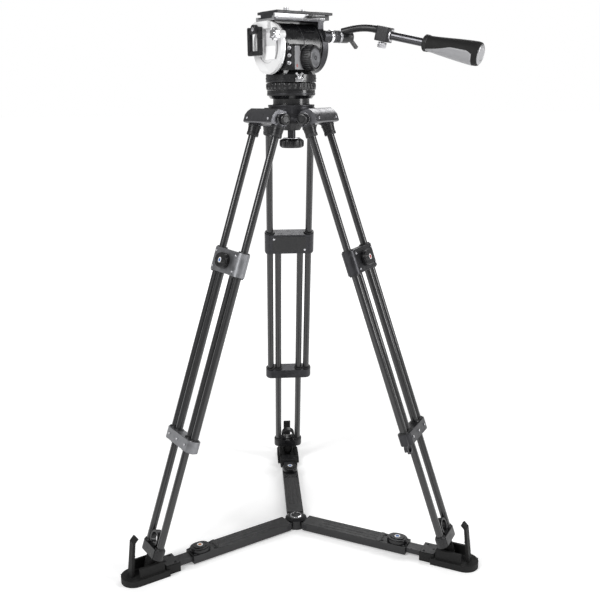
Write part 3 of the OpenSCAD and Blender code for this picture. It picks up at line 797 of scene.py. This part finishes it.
# %% Feet
for i in LEGS:
    back = LEG[i].inverted()
    recast(f"foot_{i}", f"foot_bridge_{i}", f"leg_low_{i}", SMOOTH_BLACK, 1.0, 2, RUBBER, lambda c,
           back=back: (back @ c).z < -913)
    rings = [(hoop([(9.6, z - 1.2), (11.6, z - 0.9), (11.6, z + 0.9), (9.6, z + 1.2)]), LEG[i]) for z in (-918, -924,
                                                                                                          -930)]
    piece(f"foot_grip_rings_{i}", rings, f"leg_low_{i}", RUBBER, bevel=0.3)
    collars = [(hoop([(7.8, -892.4), (10.6, -892.4), (9.6, -889), (7.8, -889)]),
                LEG[i] @ shift(0, k * INNER_HALF, 0)) for k in (-1, 1)]
    piece(f"foot_collars_{i}", collars, f"leg_low_{i}", MOULDED, bevel=0.3)
print("3 feet")

# %% [markdown]
# ## Ground spreader
# A round hub joins three flat arms. Each arm is a box section with a slider inside; an oval knob clamps it, and its
# outer end is a rubber plate with two cheeks for the foot and a pull tab at its tip.

# %% Hub
recast("hub", "hub_casting", "hub", SMOOTH_BLACK, 1.4, 3)
piece("hub_top_ring", [(hoop([(9.2, 23.6), (13.6, 23.6), (13.0, 25.0), (11.0, 25.6), (9.8, 24.8)]), WORLD)], "hub",
      BRIGHT, bevel=0.2)
piece("hub_cap", [(lathe([(0, 23.2), (9.0, 23.2), (8.6, 24.4), (6.5, 25.0), (0, 25.2)]), WORLD)], "hub", MOULDED,
      bevel=0.2)
piece("hub_edge_ribs", [(grow(RIB_RING, MOULDED, Count=30, Radius=23.7, Height=12, Width=2.2, Depth=0.4),
                         shift(0, 0, 10.5))], "hub", MOULDED, bevel=0)
lugs = []
for i in LEGS:
    for k in (-1, 1):
        lugs.append((lathe([(0, -2.6), (5.6, -2.6), (5.6, 2.6), (0, 2.6)], 32),
                     ARM[i] @ shift(31, k * 16.6, 11) @ turn("X", 90)))
piece("hub_hinge_caps", lugs, "hub", BLACK_SCREW, bevel=0.4)

# %% Arms, sliders and knobs
KNOB_AT, ARM_TOP = 244, 20  # where the lock knob stands along an arm, and the arm's top face

for i in LEGS:
    recast(f"arm_outer_{i}", f"arm_channel_{i}", "hub", MOULDED, 1.6, 3)
    grooves = grow(RIB_ROWS, MOULDED, Count=3, Span=20.0, Length=150.0, Width=2.6, Height=0.7)
    piece(f"arm_top_ribs_{i}", [(grooves, ARM[i] @ shift(140, 0, ARM_TOP) @ turn("Z", 90))], "hub", MOULDED, bevel=0)
    recast(f"arm_inner_{i}", f"arm_slider_{i}", f"arm_{i}", BLACK_CAST, 1.0, 2)
    top = ARM[i] @ shift(KNOB_AT, 0, ARM_TOP + 0.35)
    body = prism(oval(21.8, 17.8, power=2.4), 0.2, 7.4)
    rim = prism(oval(20.4, 16.4, power=2.4), 7.2, 9.4)
    crown = prism(oval(15.4, 11.6, power=2.4), 9.0, 11.2)
    piece(f"oval_knob_{i}", [(body, top), (rim, top), (crown, top)], f"arm_knob_{i}", SMOOTH_BLACK,
          (f"arm_knob_{i}",), bevel=0.9, segments=3)
    piece(f"knob_ring_{i}", [(hoop([(4.0, 11.0), (6.2, 11.0), (6.0, 11.8), (4.2, 11.8)]), top)], f"arm_knob_{i}",
          LABEL, bevel=0.15)
    piece(f"knob_dot_{i}", [(lathe([(0, 11.0), (3.8, 11.0), (3.6, 11.7), (2.4, 11.9), (0, 11.9)], 32), top)],
          f"arm_knob_{i}", DOT_ORANGE if i == 2 else DOT_BLUE, bevel=0.1)
    collar = prism(round_rect(10, 37.6, 3), 20.0, 21.2)
    ends = ((214, -12), (214, 12), (262, -14), (262, 14))
    screws(f"arm_end_screws_{i}", [(x, y, ARM_TOP + 0.6) for x, y in ends], ARM[i], "hub", BLACK_SCREW)
    piece(f"arm_band_{i}", [(collar, ARM[i] @ shift(206, 0, 0))], "hub", SMOOTH_BLACK, bevel=0.4)
print("3 arms with knobs")

# %% Foot plates
for i in LEGS:
    recast(f"foot_cup_{i}", f"foot_plate_{i}", f"arm_{i}", RUBBER, 1.2, 3)
    tread = grow(RIB_ROWS, RUBBER, Count=5, Span=22.0, Length=34.0, Width=2.4, Height=0.7)
    piece(f"plate_tread_{i}", [(tread, ARM[i] @ shift(404, 0, 13.6))], f"arm_{i}", RUBBER, bevel=0)
    shell = prism(round_rect(30, 40, 4), 19.4, 20.8)
    piece(f"plate_cover_{i}", [(shell, ARM[i] @ shift(316, 0, 0))], f"arm_{i}", MOULDED, bevel=0.5)
    screws(f"plate_screws_{i}", ((308, -14, 21.2), (308, 14, 21.2), (325, 0, 21.2)), ARM[i], f"arm_{i}", BLACK_SCREW)
    grips = grow(RIB_ROWS, RUBBER, Count=4, Span=18.0, Length=15.0, Width=2.0, Height=0.7)
    piece(f"tab_grip_{i}", [(grips, ARM[i] @ shift(392.8, 0, 66) @ turn("Y", -83.5))], f"arm_{i}", RUBBER, bevel=0)
print("3 foot plates")

# %% [markdown]
# ## Crown and levelling bowl
# The crown is the hub of the three hinges. It is a dark satin casting with three lugs and a bowl that holds the half
# ball of the head; a dish below it clamps the ball, drawn up by the tie knob.

# %% Crown
recast("crown", "crown_casting", "crown", GREY_CAST, 1.4, 3)
piece("crown_rim", [(hoop([(44.2, 931), (46.4, 931), (46.8, 932), (46.8, 934.6), (46.2, 935.4), (44.2, 935.4)]),
                     WORLD)], "crown", GREY_CAST, bevel=0.2)
piece("crown_band", [(hoop([(45.6, 912), (46.5, 912.6), (46.5, 918.4), (45.6, 919)]), WORLD)], "crown", BLACK_CAST,
      bevel=0.2)
lug_screws = [(grow(SCREWS, STEEL, ((0, -17, 0.6), (0, 17, 0.6)), **SCREW_HEAD),
               LEG[i] @ turn("Y", LEG_TILT) @ shift(-3, 0, 13))
              for i in LEGS]
piece("lug_screws", lug_screws, "crown", STEEL, bevel=0.15, segments=1)
recast("clamp_dish", "clamp_dish_turned", "dish", MOULDED, 0.8, 2)

# %% Half ball, base plate and tie knob
recast("half_ball", "half_ball_and_base", "ball", GLOSS_BLACK, 0.7, 2, GREY_CAST,
       lambda c: c.z < BALL_Z - 20 and abs(c.x) < 9 and abs(c.y) < 9)
piece("base_ring", [(hoop([(47.4, 954.6), (48.5, 955.2), (48.5, 957.2), (47.4, 957.8)]), WORLD)], "ball", GREY_CAST,
      bevel=0.15)
grip = lathe([(0, -87), (20, -87), (22.4, -84.6), (23.0, -82), (23.0, -74), (22.0, -71), (18, -68.2), (8.3, -67.6),
              (8.3, -81), (0, -81)])
lobes = grow(RIB_RING, SMOOTH_BLACK, Count=12, Radius=21.0, Height=15.5, Width=9.6, Depth=0.95)
piece("tie_knob_grip", [(grip, shift(0, 0, BALL_Z)), (lobes, shift(0, 0, BALL_Z - 78) @ turn("Z", 15))], "tie_knob",
      SMOOTH_BLACK, ("tie_knob",), bevel=0.5)
piece("tie_knob_washer", [(hoop([(8.4, -68.2), (17.5, -68.4), (17.5, -66.9), (8.4, -66.9)]), shift(0, 0, BALL_Z))],
      "tie_knob", STEEL, bevel=0.2)
print("half ball and tie knob")

# %% [markdown]
# ## Pan base
# The drag ring turns under the housing. It is ribbed all round for a gloved hand, in glossy black that flashes
# where a rib faces a lamp.

# %% Drag ring
ring_body = hoop([(20.2, 964.1), (47.0, 964.1), (48.6, 965.2), (48.6, 976.8), (47.2, 978.0), (20.2, 978.0)], 96)
piece("drag_ring_body", [(ring_body, WORLD)], "drag_ring", SMOOTH_BLACK, ("drag_ring",), bevel=0.4)
ribs = grow(RIB_RING, GLOSS_BLACK, Count=30, Radius=48.4, Height=12.0, Width=6.2, Depth=0.55)
piece("drag_ring_ribs", [(ribs, shift(0, 0, 971))], "drag_ring", GLOSS_BLACK, bevel=0)
piece("drag_ring_line", [(hoop([(47.6, 964.2), (49.2, 964.2), (49.2, 965.3), (47.6, 965.3)], 96), WORLD)],
      "drag_ring", BLACK_CAST, bevel=0.15)
print("ring with 30 ribs")

# %% [markdown]
# ## Head body
# One glossy black casting: the pan housing, the neck and the fixed tilt drum. On its front sit a flat grey control
# panel, turned to the right of the operator, and a bevelled column with three buttons.

# %% Body casting
recast("head_body", "head_casting", "pan", GLOSS_BLACK, 1.6, 3)
piece("housing_line", [(hoop([(48.8, 979.2), (50.4, 979.8), (50.4, 981.4), (48.8, 982)], 96), WORLD)], "pan",
      BLACK_CAST, bevel=0.15)
STUDS = 24
stud = [(0, 49.2), (1.5, 49.2), (1.3, 50.5), (0.8, 50.8), (0, 50.9)]
studs = [(lathe(stud, 16), HEAD @ turn("Z", (k + 0.5) * 360 / STUDS) @ shift(0, 0,
                                                                             986) @ ALONG_X) for k in range(STUDS)]
piece("housing_studs", studs, "pan", SMOOTH_BLACK, bevel=0.15)

# %% Control panel and its edge trim
flat = PANEL @ ALONG_BACK
piece("control_panel", [(prism(round_rect(64, 44, 3, 0, 1024), -0.2, 0.25), flat)], "pan", PANEL_PAINT, bevel=0.1)
piece("panel_edge_trim", [(prism(round_rect(5.2, 44, 2, 31.2, 1025), -0.2, 1.4), flat)], "pan", RAIL_GREY, bevel=0.5)
piece("panel_ring_mark", [(hoop([(1.6, 0.8), (2.8, 0.8), (2.7, 1.3), (1.7, 1.3)], 32),
                           flat @ shift(-23, 1009, -0.6))], "pan", DOT_RED, bevel=0.1)
piece("panel_seam", [(prism(round_rect(63, 1.6, 0.6, 0, 1047.6), -0.2, 0.9), flat)], "pan", BLACK_CAST, bevel=0.2)
small_heads = grow(SCREWS, STEEL, ((-29.4, 1042.6, 0.5), (29, 1004.6, 0.5)), Head_radius=1.5, Head_height=0.9,
                   Socket_radius=0.8)
piece("panel_screws", [(small_heads, flat)], "pan", STEEL, bevel=0.1, segments=1)
column_face = COLUMN @ ALONG_BACK
rings = [(hoop([(4.4, -0.1), (5.8, -0.1), (5.5, 0.9), (4.6, 0.9)], 36),
          column_face @ shift(0, -30 + 14 * k, 0)) for k in range(3)]
piece("button_rings", rings, "pan", BLACK_CAST, bevel=0.15)
for k in (1, 2, 3):
    cap = lathe([(0, -3), (3.9, -3), (3.95, 2.4), (3.6, 3.5), (2.9, 4.0), (2.4, 3.7), (0, 3.4)], 40)
    piece(f"push_button_{k}", [(cap, column_face @ shift(0, -44 + 14 * k, 0))], f"button_{k}", STEEL,
          (f"button_{k}",), bevel=0.15)
print("panel and three buttons")

# %% [markdown]
# Three narrow bands run round the fixed drum, where its cover is clamped. They stay with the fixed body.

# %% Drum bands
bands = [(hoop([(46.0, -1.2), (47.2, -0.8), (47.2, 0.8), (46.0, 1.2)], 72),
          HEAD @ shift(x, 0, TILT_Z) @ ALONG_X) for x in (-40, 0, 40)]
piece("drum_bands", bands, "pan", BLACK_CAST, bevel=0.15)
print("3 bands on the drum")

# %% [markdown]
# ## Tilt drag knob
# A dished knob with a ribbed rim. Its face is a pale silver disc with a shallow step, and a small ring sits in the
# middle.

# %% Tilt drag knob
knob_at = PANEL @ shift(12, 0, 1024) @ ALONG_BACK
knob = hoop([(6.2, 0.6), (23.0, 0.6), (23.8, 1.6), (23.8, 20.4), (22.6, 22.6), (21, 23.4), (19.6, 23.0), (18.8, 21.6),
             (0, 21.4), (0, 6.6), (6.2, 6.6)])
ribs = grow(RIB_RING, SMOOTH_BLACK, Count=36, Radius=23.6, Height=18.5, Width=2.6, Depth=0.75)
piece("tilt_drag_knob", [(knob, knob_at), (ribs, knob_at @ shift(0, 0, 11))], "tilt_knob", SMOOTH_BLACK,
      ("tilt_knob",), bevel=0.3)
piece("tilt_knob_face", [(lathe([(0, 21.0), (18.4, 21.0), (18.4, 22.0), (17.6, 22.6), (12.5, 22.5), (12.0, 22.0),
                                 (0, 22.0)]), knob_at)], "tilt_knob", SILVER_CAST, bevel=0.2)
piece("tilt_knob_mark", [(hoop([(2.6, 21.8), (4.4, 21.8), (4.2, 22.5), (2.8, 22.5)], 36), knob_at)], "tilt_knob",
      BLACK_CAST, bevel=0.1)
print("tilt drag knob")

# %% Pan lock
lever = prism([(-8, -8), (8, -8), (8, -1), (3.2, 2.5), (8.4, 8.6), (5.2, 10), (0, 5.6), (-5.2, 10), (-8.4, 8.6),
               (-3.2, 2.5), (-8, -1)], 0.6, 5.8)
stem = lathe([(0, -5), (2.9, -5), (2.9, 6.6), (2.3, 7.6), (0, 7.8)], 32)
piece("pan_lock_lever", [(lever, LOCK @ ALONG_BACK), (stem, LOCK @ ALONG_BACK)], "pan_lock", BRIGHT, ("pan_lock",),
      bevel=0.9, segments=3)
print("pan lock")

# %% [markdown]
# ## Tilting part
# A grey bed carries the camera plate between two cheeks. The left cheek is the big pale disc, and the right one
# carries a ribbed rosette that clamps the pan bar.

# %% Bed and right cheek
recast("tilt_block", "tilt_bed_and_cheek", "tilt", GREY_CAST, 1.4, 3, RAIL_GREY, lambda c: c.z > BED_Z - 3.5)
stub = HEAD @ shift(0, STUB_Y, STUB_Z) @ ALONG_X
piece("rosette_ring", [(hoop([(5.2, 84.6), (11.6, 84.6), (12.2, 85.2), (12.2, 86.0), (5.2, 86.0)]), stub),
                       (hoop([(10.6, 62), (12.6, 62.4), (12.6, 68.6), (10.6, 69)]), stub)], "tilt", BRIGHT, bevel=0.2)
teeth = grow(RIB_RING, GREY_CAST, Count=36, Radius=11.2, Height=12, Width=1.5, Depth=0.8)
piece("rosette_teeth", [(teeth, stub @ shift(0, 0, 77))], "tilt", GREY_CAST, bevel=0)
cheek = HEAD @ shift(58, 0, TILT_Z) @ ALONG_X
piece("cheek_cover", [(lathe([(0, -0.3), (40, -0.3), (40.6, 0.3), (39.6, 1.4), (30, 1.5), (29, 0.9), (0, 0.9)], 72),
                       cheek)], "tilt", BLACK_CAST, bevel=0.3)
around = [math.radians(a) for a in (20, 110, 200, 290)]
screws("cheek_screws", [(34.8 * math.cos(a), 34.8 * math.sin(a), 1.8) for a in around], cheek, "tilt")
print("bed, rosette and cheek")

# %% [markdown]
# The side disc is painted light grey, with a shallow round recess, a raised curved band near its top and a blank
# rounded label. It carries the knob and the fold-down handle.

# %% Side disc
recast("side_disc", "side_disc_casting", "tilt", DISC_PAINT, 0.9, 3)
face = HEAD @ shift(-54.5, 0, TILT_Z) @ turn("Y", -90)
piece("disc_inner_plate", [(lathe([(0, -0.2), (28.6, -0.2), (28.6, 0.6), (27.8, 1.0), (0, 1.0)], 72), face)], "tilt",
      DISC_PAINT, bevel=0.25)
piece("disc_blank_label", [(prism(round_rect(25, 38, 5, -10, -9), 0.8, 2.2), face)], "tilt", LABEL, bevel=0.2)
band = []
for r, start, sweep_angle in ((38.5, 52, 76), (33.5, 128, -76)):
    for k in range(25):
        a = math.radians(start + sweep_angle * k / 24)
        band.append((r * math.cos(a), r * math.sin(a)))
outer = HEAD @ shift(-56, 0, TILT_Z) @ turn("Y", -90) @ turn("Z", 180)
piece("disc_curved_band", [(prism(band, -0.3, 0.7), outer)], "tilt", RAIL_GREY, bevel=0.25)
piece("disc_rim", [(hoop([(48.8, 47.2), (50.5, 47.8), (50.5, 49.4), (48.8, 50.0)], 96),
                    HEAD @ shift(0, 0, TILT_Z) @ turn("Y", -90))], "tilt", BRIGHT, bevel=0.2)
print("disc with a blank label")

# %% Handle on the disc
pivot = HEAD @ shift(-69, 23, TILT_Z + 35) @ turn("Y", -90)
sides = [block((-44, -22, -3.9), (3.6, -13.2, 3.9), 3), block((-44, 13.2, -3.9), (3.6, 22, 3.9), 3),
         prism(round_rect(9, 44, 4, -45.5, 0), -3.9, 3.9), prism(round_rect(9.4, 44, 3.6, -4.4, 0), -3.9, 3.9)]
boss = hoop([(4.1, -3.4), (8.6, -3.4), (8.6, 4.2), (7.8, 5.0), (0, 5.0), (0, 3.2), (4.1, 3.2)])
piece("disc_handle_loop", [(s, pivot) for s in sides] + [(boss, pivot)], "disc_handle", SMOOTH_BLACK,
      ("disc_handle",), bevel=1.6, segments=3)
piece("handle_pin", [(lathe([(0, 4.6), (4.2, 4.6), (4.0, 5.6), (2.6, 5.9), (0, 5.9)], 32), pivot)], "disc_handle",
      STEEL, bevel=0.2)
print("handle loop")

# %% Lobed knob on the disc
knob_face = HEAD @ shift(0, STUB_Y, STUB_Z) @ turn("Y", -90)
lobed = []
for k in range(120):
    a = 2 * math.pi * k / 120
    r = 10.6 + 1.7 * math.cos(6 * a)
    lobed.append((r * math.cos(a), r * math.sin(a)))
piece("lobed_chrome_knob", [(prism(lobed, 62.9, 71.9), knob_face),
                            (lathe([(0, 71.5), (6.4, 71.5), (6.0, 72.8), (3.8, 73), (0, 73)], 40), knob_face)],
      "lobed_knob", BRIGHT, ("lobed_knob",), bevel=1.3, segments=3)
print("lobed knob")

# %% [markdown]
# ## Camera plate
# The plate is a black extrusion with a ribbed rubber pad on top. Two captive screws come through it, with a real
# thread on their pins.

# %% Plate, pads and camera screws
PLATE = HEAD @ shift(12, 0, BED_Z)
PADS = ((-64, -31), (-13, 9), (27, 64))  # where each pad starts and ends along the plate
recast("camera_plate", "camera_plate_extrusion", "plate", BLACK_CAST, 0.8, 2)
pads, ridges, edges = [], [], []
for x0, x1 in PADS:
    width, middle = x1 - x0, (x0 + x1) / 2
    pads.append((prism(round_rect(width, 60, 3, middle, 0), 14.0, 14.8), PLATE))
    ribs = grow(RIB_ROWS, RUBBER, Count=int((width - 4) / 2.8) + 1, Span=width - 5.0, Length=56.0, Width=1.5,
                Height=0.6)
    ridges.append((ribs, PLATE @ shift(middle, 0, 14.8)))
piece("plate_pads", pads, "plate", RUBBER, bevel=0.25)
piece("plate_pad_ribs", ridges, "plate", RUBBER, bevel=0)
for y in (-35, 35):
    lines = grow(RIB_ROWS, BLACK_CAST, Count=2, Span=2.6, Length=128.0, Width=1.1, Height=0.35)
    edges.append((lines, PLATE @ shift(0, y, 11.7) @ turn("Z", 90) @ ALONG_X))
piece("plate_edge_lines", edges, "plate", BLACK_CAST, bevel=0)
recast("camera_screws", "camera_screw_pins", "plate", STEEL, 0.4, 2)
threads = [(grow(THREAD, STEEL, Turns=6.0, Radius=4.55, Height=7.0, Ridge=0.32), PLATE @ shift(-22, 0, 15.2)),
           (grow(THREAD, STEEL, Turns=5.0, Radius=3.0, Height=5.0, Ridge=0.26), PLATE @ shift(18, 0, 15.2))]
piece("camera_screw_threads", threads, "plate", STEEL, bevel=0)
print("plate with two screws")

# %% Plate rails, stop and lock lever
rails = []
for z in (2.6, 0.2):
    lines = grow(RIB_ROWS, RAIL_GREY, Count=2, Span=1.4, Length=116.0, Width=1.0, Height=0.4)
    rails.append((lines, HEAD @ shift(0, -33.8, BED_Z + z) @ turn("Z", 90) @ ALONG_X))
piece("bed_rail_lines", rails, "tilt", RAIL_GREY, bevel=0)
lock_place = HEAD @ shift(20, -40.6, BED_Z + 1)
lever = prism([(-4, 4.2), (-5.8, 0), (-4, -5), (4, -6.6), (32, -5.4), (34, -3), (32, 0.8), (10, 1.8), (3.6, 4.6)],
              1.6, 5.6)
hub_cap = lathe([(0, 0.3), (5.8, 0.3), (5.8, 5.4), (5.0, 6.2), (0, 6.3)], 36)
piece("plate_lock_lever", [(lever, lock_place), (hub_cap, lock_place)], "plate_lock", SMOOTH_BLACK, ("plate_lock",),
      bevel=0.9, segments=3)
piece("plate_lock_pin", [(lathe([(0, 6), (2.8, 6), (2.6, 6.8), (0, 7)], 28), lock_place)], "plate_lock", STEEL,
      bevel=0.2)
print("rails and lock lever")

# %% [markdown]
# ## Pan bar
# A short black arch comes out of the rosette, then a clamp block holds a grey rod with a moulded grip at its end. The
# clamp screw's head is a small grey cylinder below the block.

# %% Arch, clamp and rod
recast("bar_clamp", "bar_clamp_lever", "bar_clamp", SMOOTH_BLACK, 0.9, 3)
arch = grow(ARCH, SMOOTH_BLACK, Arc_radius=140.0, Start_angle=math.radians(73), Sweep_angle=math.radians(34),
            Section=6.9, Swell=0.22)
arch_place = BAR @ shift(41, 0, STUB_Z + 15 - 140) @ ALONG_BACK
rosette = hoop([(5.2, 86.6), (11.2, 86.6), (11.9, 87.4), (11.9, 107.0), (11.2, 107.9), (5.2, 107.9)])
jaw = prism(round_rect(30, 26, 5, 2, 0), -14, 14)
piece("bar_arch", [(arch, arch_place), (rosette, stub)], "pan_bar", SMOOTH_BLACK, ("pan_bar",), bevel=0.6)
piece("rod_jaw", [(jaw, ROD)], "pan_bar", BLACK_CAST, bevel=1.6, segments=3)
piece("jaw_rings", [(hoop([(8.2, 16.4), (11.6, 16.4), (11.6, 18.6), (8.2, 18.6)]), ROD @ ALONG_X),
                    (hoop([(8.6, 87.0), (12.5, 87.0), (12.5, 88.6), (8.6, 88.6)]), stub)], "pan_bar", STEEL,
                    bevel=0.3)
piece("bar_teeth", [(grow(RIB_RING, SMOOTH_BLACK, Count=36, Radius=11.3, Height=9, Width=1.5, Depth=0.8),
                     stub @ shift(0, 0, 94))], "pan_bar", SMOOTH_BLACK, bevel=0)
knob = lathe([(0, -26), (7.8, -26), (8.4, -25.2), (8.4, -16.4), (7.6, -15.4), (3.0, -15.2), (3.0, -10), (0, -10)], 44)
knurl = grow(RIB_RING, STEEL, Count=26, Radius=8.3, Height=8.6, Width=1.5, Depth=0.7)
piece("clamp_knob", [(knob, ROD @ shift(2, 0, 0)), (knurl, ROD @ shift(2, 0, -20.8))], "bar_knob", STEEL,
      ("bar_knob",), bevel=0.3)
piece("grip_rod", [(pipe(8, 6.5, -12, 170, 40), ROD @ ALONG_X)], "bar_grip", ROD_FINISH, ("bar_rod",), bevel=0.3)
print("arch, jaw and rod")

# %% [markdown]
# The grip is a soft black moulded handle, wider at its outer end. A grey curved panel let into its lower side is a
# painted highlight, where the black grip catches the light, and a grey cap closes the end.

# %% Grip
grip_profile = [(8.2, 87), (13.6, 87), (15.2, 88.8), (15.6, 94), (14.8, 101), (15.6, 112), (17.2, 130), (19.6, 155),
                (21.6, 180),
                (22.2, 192), (21.8, 197), (20.6, 200), (0, 201), (0, 171), (8.2, 170.5)]
piece("grip_sleeve", [(hoop(grip_profile, 64), ROD @ ALONG_X)], "bar_grip", RUBBER, ("bar_grip",), bevel=0.4)
piece("grip_end_cap", [(lathe([(0, 199.6), (18.6, 199.6), (18.8, 201.0), (17.6, 202.4), (12.0, 203.0), (11.2, 202.4),
                               (0, 202.2)], 56), ROD @ ALONG_X)], "bar_grip", RAIL_GREY, bevel=0.4)


def grip_radius(x):
    points = [(z, r) for r, z in grip_profile[3:10]]
    for (x0, r0), (x1, r1) in zip(points, points[1:]):
        if x <= x1:
            return r0 + (r1 - r0) * max(0, x - x0) / (x1 - x0)
    return points[-1][1]


def grip_highlight_panel(x0, x1, half_angle, proud, turned=math.radians(-38)):
    """a curved grey shield let into the lower side of the grip, pointed at its inner end; its grey is a painted
    highlight.
    """
    bm = bmesh.new()
    rows = []
    for k in range(25):
        t = k / 24
        x = x0 + (x1 - x0) * t
        spread = half_angle * min(1.0, 0.15 + 1.6 * t) * (1 if t < 0.9 else 1 - 2.2 * (t - 0.9))
        for lift in (proud, -1.0):
            row = []
            for j in range(17):
                a = math.radians(spread * (2 * j / 16 - 1))
                edge = 1 - abs(2 * j / 16 - 1) ** 4 * 0.35
                r = grip_radius(x) + (lift * edge if lift > 0 else lift)
                row.append(bm.verts.new((x, r * math.sin(a + turned), -r * math.cos(a + turned))))
            rows.append(row)
    tops, lows = rows[0::2], rows[1::2]
    for skin in (tops, lows):
        for a, b in zip(skin, skin[1:]):
            for j in range(16):
                bm.faces.new((a[j], a[j + 1], b[j + 1], b[j]))
    for k in range(24):
        for j in (0, 16):
            bm.faces.new((tops[k][j], tops[k + 1][j], lows[k + 1][j], lows[k][j]))
    for k in (0, 24):
        for j in range(16):
            bm.faces.new((tops[k][j], tops[k][j + 1], lows[k][j + 1], lows[k][j]))
    bmesh.ops.recalc_face_normals(bm, faces=bm.faces)
    return bm


# painted highlight: a grey shield where the black grip catches the light
piece("grip_painted_highlight", [(grip_highlight_panel(96, 190, 58, 0.7), ROD)], "bar_grip", PANEL_PAINT, bevel=0)
grip_rings = []
for x in (90, 92.6, 95.2):
    low, high = grip_radius(x) - 0.6, grip_radius(x) + 0.35
    grip_rings.append((hoop([(low, x - 0.9), (high, x - 0.5), (high, x + 0.5), (low, x + 0.9)]), ROD @ ALONG_X))
piece("grip_neck_rings", grip_rings, "bar_grip", MOULDED, bevel=0.1)
print("grip")

# %% [markdown]
# ## Size of the model
# Every part keeps its CAD size; the box of the finished model is measured at the end.

# %% Sizes and finish
low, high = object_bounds()
